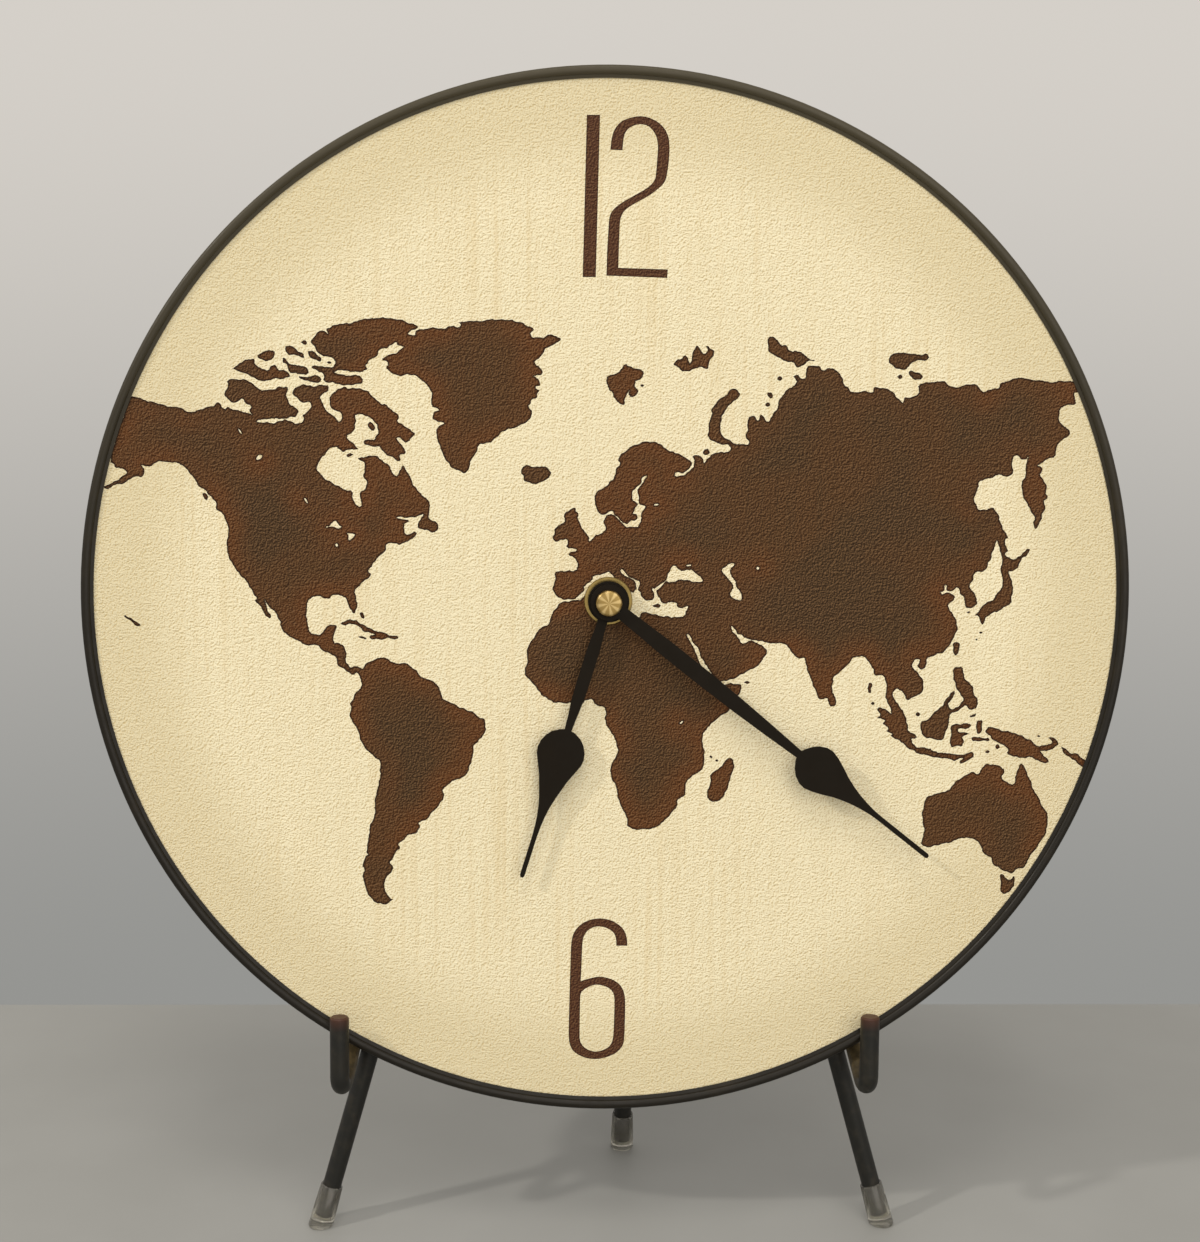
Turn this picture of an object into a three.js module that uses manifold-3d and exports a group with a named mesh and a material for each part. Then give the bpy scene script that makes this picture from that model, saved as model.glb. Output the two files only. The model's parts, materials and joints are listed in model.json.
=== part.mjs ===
// A round world map clock resting in a small wire easel.
// Millimetres, +Z up, front of the dial towards -Y, standing on z = 0.
import * as THREE from 'three';
import { mergeVertices } from 'three/addons/utils/BufferGeometryUtils.js';
import Module from 'manifold-3d';

// Clearances between neighbouring pieces.
const GLUE_LINE = 0.1;
const SEAT_GAP = 0.3;
const RUN_GAP = 0.2;
const THREAD_GAP = 0.1;

// Dial, board and bezel.
const DIAL_RADIUS = 148.85;
const MAP_DRAWN_RADIUS = 148.85;
const BEZEL_LIP = 2.05;
const BEZEL_SKIRT = 1.6;
const BEZEL_SPRING = 0.6;
const BEZEL_BEAD = 1;
const BEZEL_BEVEL = 1;
const BEZEL_HEM = 0.6;
const FACE_PLY = 0.8;
const LAND_PLY = 1.2;
const BOARD_THICKNESS = 7.4;
const MAP_UNDER_LIP = 0.3;

// Pose of the clock and its easel.
const LEAN = THREE.MathUtils.degToRad(8);
const HUB_HEIGHT = 193.6;
const DIAL_TURN = THREE.MathUtils.degToRad(0.66);

// Hands and the stack of hardware at the hub.
const MINUTE_ARBOR_RADIUS = 1.75;
const HOUR_TUBE_WALL = 0.55;
const BUSHING_WALL = 1.2;
const WASHER_RADIUS = 7;
const WASHER_THICKNESS = 0.8;
const NUT_FLATS = 10;
const NUT_THICKNESS = 1.6;
const HAND_THICKNESS = 0.8;
const HOUR_HUB_RADIUS = 6;
const MINUTE_HUB_RADIUS = 5.3;
const HOUR_HAND_LIFT = 0.5;
const HAND_SPACING = 1.4;
const HOUR_TUBE_STANDOUT = 0.6;
const CAP_RADIUS = 3.75;
const CAP_HEIGHT = 2.8;
const CAP_CROWN = 0.7;
const CAP_ROOF = 0.6;
const STUD_RADIUS = 1.3;
const HOUR_ANGLE = THREE.MathUtils.degToRad(197.7);
const MINUTE_ANGLE = THREE.MathUtils.degToRad(129);

// Quartz movement behind the board.
const GASKET_THICKNESS = 0.8;
const GASKET_RADIUS = 9;
const CASE_WALL = 1.75;
const CASE_FRONT = 1.8;
const CASE_CORNER = 3;
const BAY_DIVIDER = 1.6;
const COVER_THICKNESS = 1.6;
const BATTERY_RADIUS = 7.1;
const BATTERY_LENGTH = 49.2;
const BATTERY_NUB_RADIUS = 2.75;
const BATTERY_NUB = 1.3;
const CONTACT_THICKNESS = 0.4;
const CONTACT_SIZE = 10;
const TRAIN_HEADROOM = 26.4;
const TRAIN_MARGIN = 1.7;
const KNOB_RADIUS = 6;
const KNOB_THICKNESS = 4;
const KNOB_STANDOFF = 0.6;
const KNOB_GROOVES = 18;
const KNOB_GROOVE_DEPTH = 0.4;

// Gear train. Each pair shares a module; wheels are stacked in layers from the front.
const WHEEL_THICKNESS = 1;
const LAYER_GAP = 1;
const LAYERS = 6;
const ADDENDUM = 0.8;
const DEDENDUM = 1;
const MESH_GAP = 0.12;
const ARBOR_RADIUS = 0.6;
const PIVOT_RADIUS = 0.4;
const PIVOT_DEPTH = 0.7;
const CLUTCH_RADIUS = 1;
const CANNON = { teeth: 8, module: 0.5 };
const MINUTE_WHEEL = { teeth: 24, module: 0.5 };
const HOUR_PINION_TEETH = 8;
const HOUR_WHEEL_TEETH = 32;
const SETTING_PINION_TEETH = 8;
const CENTRE_WHEEL = { teeth: 48, module: 0.3 };
const THIRD_PINION_TEETH = 6;
const THIRD_WHEEL = { teeth: 45, module: 0.25 };
const SECONDS_PINION_TEETH = 6;
const SECONDS_WHEEL = { teeth: 30, module: 0.3 };
const FIFTH_PINION_TEETH = 6;
const FIFTH_WHEEL = { teeth: 36, module: 0.25 };
const ROTOR_PINION_TEETH = 6;
const MINUTE_WHEEL_BEARING = THREE.MathUtils.degToRad(0);
const SETTING_BEARING = THREE.MathUtils.degToRad(40);
const THIRD_BEARING = THREE.MathUtils.degToRad(110);
const SECONDS_BEARING = THREE.MathUtils.degToRad(150);
const FIFTH_BEARING = THREE.MathUtils.degToRad(170);
const ROTOR_BEARING = THREE.MathUtils.degToRad(200);
const ROTOR_RADIUS = 1.8;
const ROTOR_LENGTH = 2.8;
const STATOR_THICKNESS = 1.2;
const STATOR_AIR_GAP = 0.5;
const STATOR_WEB = 0.9;
const STATOR_TAIL = 6;
const CORE_HEIGHT = 2;
const CORE_REACH = 14;
const COIL_RADIUS = 3.2;
const COIL_FLANGE = 0.4;
const COIL_CHEEK = 0.8;
const COIL_LENGTH = 22;
const BOARD_WIDTH = 20;
const BOARD_HEIGHT = 8;
const BOARD_SHEET = 1.2;
const CHIP_WIDTH = 7;
const CHIP_HEIGHT = 4;
const CHIP_THICKNESS = 0.9;

// Wire easel.
const ROD_RADIUS = 2.8;
const FOOT_SPREAD = 86.2;
const LEG_SPLAY = THREE.MathUtils.degToRad(15.7);
const TOP_BAR_DROP = 49;
const LEG_CROWN = 6;
const BAR_OVERHANG = 5;
const HOOK_RADIUS = 2.8;
const HOOK_FLARE = 2.1;
const HOOK_DIP = 11.5;
const PRONG_LENGTH = 25;
const PRONG_GAP = 2.6;
const HOOK_ROOT = 6.4;
const HOOK_BEND = 3.6;
const HOOK_ROOT_BEND = 4;
const SLEEVE_WALL = 1.8;
const SLEEVE_LENGTH = 16;
const REAR_OFFSET = 7.8;
const REAR_FOOT_SET = 33.9;
const STOP_PIN_RADIUS = 1;
const STOP_PIN_PROUD = 0.8;
const CAP_FOOT_WALL = 0.8;
const CAP_MOUTH_WALL = 0.45;
const CAP_LENGTH = 13.2;
const CAP_SOLE = 2;
const ROD_SIDES = 14;
const HOOK_STEPS = 30;

// Blade outlines of the two hands: distance from the hub and half width.
const HOUR_PROFILE = [
  [0, 1.4], [8, 1.45], [14, 1.85], [25, 1.9], [30, 1.75], [36, 1.25], [39.4, 1.05], [39.8, 2.4], [41, 4.4],
  [42.5, 5.7], [44.5, 6.7], [46.5, 7], [48.3, 6.75], [51, 5.6], [54, 4.3], [57, 3.35], [60, 2.4], [63, 1.65],
  [66, 1.15], [69, 0.85], [72, 0.7], [84.4, 0.68], [85, 0.35],
];
const MINUTE_PROFILE = [
  [0, 1.9], [8, 2], [22, 2.4], [36, 2.4], [48, 2.2], [60, 1.75], [71.2, 1.2], [71.6, 2.2], [73, 4.2],
  [74.5, 5.6], [76.5, 6.6], [78.5, 6.85], [81, 6.2], [84, 5], [87, 3.6], [90, 2.6], [93, 1.8], [96, 1.25],
  [99, 0.85], [102, 0.75], [119.6, 0.72], [120.2, 0.38],
];

// Coast outlines of the engraved world map, in millimetres on the dial: x right, y up from the hub.
// Straits that are narrower than the cutter are drawn as thin slits so that the sea stays in one sheet.
const AMERICAS = [
  [-142, 61.5], [-135.6, 59.7], [-134, 59.2], [-131.5, 58.3], [-129, 57.7], [-126, 56.9], [-123, 56.5],
  [-121.2, 55.8], [-119.8, 55], [-118, 55.4], [-116, 56.4], [-113.4, 56.8], [-112.3, 57.7], [-111.2, 57.4],
  [-110, 56], [-109, 56.8], [-108.2, 55.9], [-105.5, 55.6], [-103.5, 54.9], [-102, 54.3], [-103, 55.7],
  [-102.4, 56.7], [-104, 57.8], [-104.8, 58.9], [-105.7, 58.4], [-107.5, 57.7], [-108.7, 58.9],
  [-110.1, 59.8], [-109.4, 61.5], [-108.7, 62.9], [-109.2, 64.1], [-106.1, 64.7], [-103.3, 64.3],
  [-101.6, 63.1], [-99.5, 61.4], [-95.7, 61.3], [-93.8, 62.3], [-91.9, 62.3], [-91.7, 61.2], [-92.2, 59.5],
  [-91.5, 57.4], [-88.6, 55.5], [-89.3, 53.8], [-92, 53.4], [-95.3, 52.85], [-97.5, 52.9], [-100, 53.1],
  [-100.7, 52.4], [-98, 52], [-95.6, 52.1], [-95.2, 52.5], [-92.2, 52.8], [-89.6, 51.8], [-87.5, 51.9],
  [-87.2, 53.3], [-87.9, 54.1], [-86.3, 55.1], [-85.4, 56.2], [-85.2, 57.6], [-85.9, 57.9], [-87.2, 57.5],
  [-88.5, 58.5], [-89.6, 59.7], [-90.4, 60.5], [-89.3, 62.3], [-86.7, 62.9], [-84.5, 62.2], [-82.3, 62.7],
  [-79.9, 62.4], [-80.3, 60.7], [-82.3, 59.6], [-82.7, 58.8], [-81.6, 57], [-80.8, 55.3], [-79.2, 54],
  [-77.7, 52.9], [-77.3, 52], [-76.4, 52.9], [-76.4, 54.4], [-77, 55.1], [-78.8, 55.5], [-79.7, 57],
  [-79.9, 58.8], [-79, 60.5], [-77.5, 61.6], [-75.3, 62], [-74.6, 61.5], [-72.9, 61.8], [-70, 61.6],
  [-68.3, 60.5], [-67.4, 59.2], [-65.4, 57.5], [-63.9, 57.1], [-62.4, 55.7], [-60.8, 54.8], [-60.1, 53.5],
  [-60.7, 52.2], [-58.7, 51.1], [-56.9, 50], [-55.3, 48.6], [-56.5, 47.6], [-57.8, 46], [-58.9, 46.3],
  [-60.2, 47.7], [-61, 47.3], [-60, 46], [-58.5, 44.5], [-58.3, 43.2], [-59.9, 42.6], [-59.7, 41],
  [-61.2, 41.2], [-63.6, 42.6], [-65.1, 43.9], [-66, 45.1], [-68.4, 45.1], [-69.9, 45.5], [-70.1, 46.6],
  [-68.6, 47.1], [-67.1, 47], [-66.8, 48.3], [-65.7, 49.2], [-66.2, 50.9], [-67.5, 52.4], [-68.8, 53.5],
  [-70.5, 54.4], [-72.9, 54.2], [-72.3, 53.1], [-72.5, 51.3], [-73.2, 49.6], [-74.3, 48.7], [-75.4, 47.8],
  [-73.9, 46.5], [-72.8, 45.4], [-71.7, 44.3], [-73.2, 44.1], [-75, 44.1], [-76.1, 43.7], [-77.8, 44.4],
  [-78, 45], [-79.8, 44.8], [-80.9, 43.5], [-82.4, 41.7], [-83.5, 40], [-83.9, 38.4], [-82.9, 37.6],
  [-81.9, 35.8], [-79.9, 35.1], [-78.2, 33.8], [-76, 32.6], [-73.8, 32.1], [-73.6, 30.3], [-73, 28.3],
  [-71.9, 27.5], [-71.3, 28.3], [-71.8, 30.7], [-71.6, 31.8], [-70.1, 32.4], [-69.4, 34.2], [-69.6, 35.3],
  [-70.9, 36.8], [-70, 38.6], [-70.2, 40.3], [-71.3, 41], [-72.2, 41.7], [-71.1, 42.2], [-70.2, 41.9],
  [-68.4, 42.6], [-66.5, 42.3], [-65, 41], [-63.2, 39.9], [-62.6, 38.1], [-61.3, 36.5], [-60, 37.7],
  [-59.5, 39], [-58.9, 39.5], [-57.6, 36.8], [-56.1, 34], [-55, 32], [-52.8, 30.5], [-51.5, 28.5],
  [-51.9, 26], [-51.7, 24.6], [-51, 23.7], [-49.7, 23.1], [-49.2, 21], [-50.5, 20.1], [-52.5, 21],
  [-55.4, 21.3], [-54.9, 23.1], [-53.6, 24.6], [-53.3, 25.6], [-54, 25.5], [-55.3, 24.6], [-61.3, 24.6],
  [-60.2, 24.2], [-56.9, 23.4], [-58.7, 23], [-59.2, 21.3], [-59, 19.8], [-57.9, 19.5], [-56.4, 20.5],
  [-55.2, 20], [-55.9, 18.7], [-58.7, 17.4], [-60.5, 16.4], [-61.3, 17.2], [-63.3, 17.2], [-64.4, 16.4],
  [-64.6, 14.6], [-67, 12.8], [-68.3, 10.5], [-69.4, 9.5], [-68.6, 8.2], [-69.9, 6.7], [-72.2, 4.9],
  [-73.5, 3.3], [-73.3, 1.3], [-72.8, -1.3], [-73.6, -3.4], [-74.6, -2.9], [-75.4, -0.8], [-76.2, 1.5],
  [-77.7, 1.8], [-78.5, 2.4], [-80.3, 2.1], [-80.8, 1.1], [-82.6, 1.6], [-85.2, 1.9], [-87.3, 0.3],
  [-87.5, -2.3], [-87.8, -4.9], [-87.2, -7.5], [-86, -9.3], [-83.4, -9.3], [-82.6, -7.5], [-81.1, -6.4],
  [-78.9, -6.7], [-79.6, -8.8], [-80.1, -11.7], [-77.8, -12], [-76.2, -13.5], [-76.6, -16.1],
  [-76.1, -17.9], [-75.1, -19.2], [-73.6, -18.5], [-72, -19.5], [-71.5, -19.3], [-70.4, -17.4],
  [-68.9, -17.2], [-66.8, -15.9], [-64.7, -16.4], [-63.5, -17.7], [-61.4, -18], [-59, -17.9],
  [-57.5, -19.3], [-55.9, -20.4], [-54.4, -22.4], [-52.1, -22.8], [-49.7, -24.6], [-48.7, -27.2],
  [-48.2, -28.8], [-45.4, -29.9], [-43, -31.5], [-39.9, -32.1], [-37.9, -34.2], [-36.4, -34.3],
  [-35.8, -36.9], [-36.7, -39.3], [-38.3, -41.1], [-39.7, -42.7], [-39.9, -46.9], [-41.4, -50.1],
  [-43, -52.3], [-45.1, -52.5], [-47.4, -53.8], [-48.5, -55.1], [-48.4, -57.5], [-49.8, -59.9],
  [-51.7, -61.8], [-53.2, -64.2], [-55.1, -64.7], [-56.1, -65.3], [-55.5, -66.3], [-56.6, -68.5],
  [-60, -69.2], [-60.4, -70.8], [-62.4, -71.5], [-61.5, -72.7], [-63, -74], [-63.5, -75.9], [-64.9, -77],
  [-63.6, -78.6], [-64.4, -80.2], [-66.5, -82.6], [-66.3, -85.3], [-65.3, -87.4], [-63.5, -88.2],
  [-64.8, -89], [-66.6, -89.7], [-69, -89], [-71.3, -86.9], [-71.6, -85], [-72.4, -83.1], [-72.7, -79.9],
  [-72.1, -78.9], [-72.9, -77.9], [-71.8, -75.4], [-70.7, -74.6], [-71.5, -73.6], [-70.8, -70.1],
  [-70.6, -66.4], [-69.5, -64.5], [-68.6, -60.2], [-68.5, -57.5], [-67.6, -54.3], [-67, -50.1],
  [-66.9, -46.9], [-69, -45.1], [-71.5, -43], [-72.8, -40.1], [-73.8, -36.9], [-75.3, -34.8],
  [-75.9, -32.7], [-75, -30.8], [-75.5, -29.3], [-73.9, -26.6], [-72, -24.8], [-72.2, -22.1],
  [-73.2, -20.5], [-74.4, -21.4], [-76.8, -20], [-79, -18.4], [-78.9, -17.4], [-80.2, -15.3],
  [-83, -14.2], [-84.8, -12.4], [-87.7, -12.3], [-90, -11.4], [-92.4, -10], [-94.9, -8.3], [-95.1, -5.9],
  [-95.8, -4.4], [-97, -2.5], [-98.2, -1.3], [-99.7, 0.9], [-99, -1.3], [-98.5, -2.6], [-97.8, -4.2],
  [-98.5, -4.8], [-100, -2.8], [-101, -0.8], [-102.3, 0], [-102.5, 0.8], [-101.8, 1.3], [-103, 2.9],
  [-104, 4.5], [-105, 6.8], [-107, 8.2], [-108.6, 11], [-109.8, 13.1], [-110.4, 15.1], [-110.2, 18],
  [-109.7, 21], [-110.2, 24.1], [-111.3, 25.8], [-113.2, 27.4], [-112.9, 29.1], [-113.6, 30],
  [-115, 31.7], [-115.8, 32.7], [-117.6, 33.6], [-118.3, 35], [-119.7, 36.7], [-120.6, 38.3],
  [-121.9, 39.5], [-124.3, 40.7], [-126.7, 41], [-129, 41.2], [-130.2, 40.7], [-131.6, 39.7],
  [-132.8, 39.7], [-134, 40], [-133.3, 38.8], [-133.1, 37.4], [-134.3, 36.4], [-135.5, 36.9],
  [-137.2, 36.2], [-139.1, 35.2], [-141.3, 34.5], [-143.4, 33.4], [-147, 32.8], [-147, 34.2],
  [-144.4, 34.3], [-142, 35.3], [-140, 36.5], [-138.4, 37.6], [-138.2, 38.6], [-140, 39.3],
  [-141.5, 39.5], [-142, 40.5], [-146, 41],
];
const GREENLAND = [
  [-85, 75], [-83.9, 76.6], [-82.8, 78], [-81.3, 78.4], [-79.9, 77.1], [-80.6, 78.7], [-78, 79.7],
  [-74.9, 80.5], [-73.2, 80.2], [-70.5, 81.4], [-67.5, 81.5], [-64.4, 81.7], [-61.3, 81.6], [-58.7, 80.9],
  [-56.5, 80.4], [-54.2, 79.3], [-54.6, 78.5], [-56.5, 77.8], [-57.2, 77.1], [-55.2, 76.7], [-55.1, 77.6],
  [-54.2, 78.2], [-52.3, 78.4], [-50.6, 78.9], [-47.7, 78.9], [-46.2, 78.6], [-45.8, 79.4], [-44.2, 79.3],
  [-43.2, 78.7], [-41.9, 79.7], [-42.6, 80.4], [-40.1, 80.7], [-37, 80.7], [-34.4, 81.2], [-30.5, 81.3],
  [-27.4, 81], [-24.8, 80.4], [-22.6, 79.3], [-20.9, 78.4], [-22.2, 77.5], [-21.5, 76], [-20.2, 76.1],
  [-18.7, 75.8], [-17.6, 76.6], [-15.2, 76.8], [-12.9, 75.6], [-14.3, 74.7], [-16.9, 73.3], [-18, 72.5],
  [-18.3, 71.2], [-19.6, 70.3], [-21.1, 68.8], [-19.4, 67.5], [-18.4, 65.4], [-21.3, 65], [-19.6, 64],
  [-19.4, 62.5], [-20.7, 61.8], [-19.4, 60.9], [-20.3, 60], [-20.5, 58.7], [-22.1, 58.1], [-22.1, 57],
  [-22.8, 56.4], [-21.8, 54.6], [-22.4, 52.8], [-24.6, 51.3], [-27.2, 50.1], [-30.3, 49.3], [-32, 47.5],
  [-33.8, 46.2], [-37.3, 45.4], [-38.3, 42.7], [-39.6, 41], [-40.1, 38.4], [-41.1, 37.1], [-42.8, 37.9],
  [-45.2, 38.8], [-46.7, 41], [-48.2, 44.1], [-49.2, 46.8], [-49.6, 49.4], [-48.9, 51], [-47, 51.6],
  [-48.9, 52.3], [-50.7, 53.1], [-50, 55.1], [-48.5, 55.3], [-49.2, 55.9], [-50.9, 56.4], [-50.7, 58.6],
  [-50.4, 60.2], [-51.3, 61.9], [-52.8, 63.8], [-54.7, 65.1], [-57.3, 65.6], [-60.2, 65.2], [-62.2, 66.3],
  [-63.9, 67.6], [-62.8, 68.5], [-65, 70], [-63.6, 70.9], [-60.1, 72], [-58.4, 73.5], [-60.1, 73.9],
  [-60.3, 75], [-62.3, 73.7], [-65.1, 72.6], [-66.2, 70.5], [-67.9, 69.8], [-68.8, 69.4], [-69.5, 68.1],
  [-68.7, 67.2], [-70.6, 66.2], [-72.8, 66.5], [-75, 66.7], [-78, 66.8], [-78.7, 66.3], [-77.1, 65.7],
  [-74.5, 65.4], [-71.5, 65.4], [-70.2, 64.6], [-70.4, 63.2], [-72.3, 62.7], [-75.4, 62.7], [-78.9, 63.2],
  [-81.5, 63.9], [-81.2, 65.2], [-82, 66.3], [-83.5, 67], [-85.1, 67.7], [-84.6, 68.4], [-81.5, 68],
  [-78.9, 67.8], [-77.9, 69], [-78.6, 70.4], [-81.1, 70.7], [-82.3, 71.6], [-84.3, 73.8],
];
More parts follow.
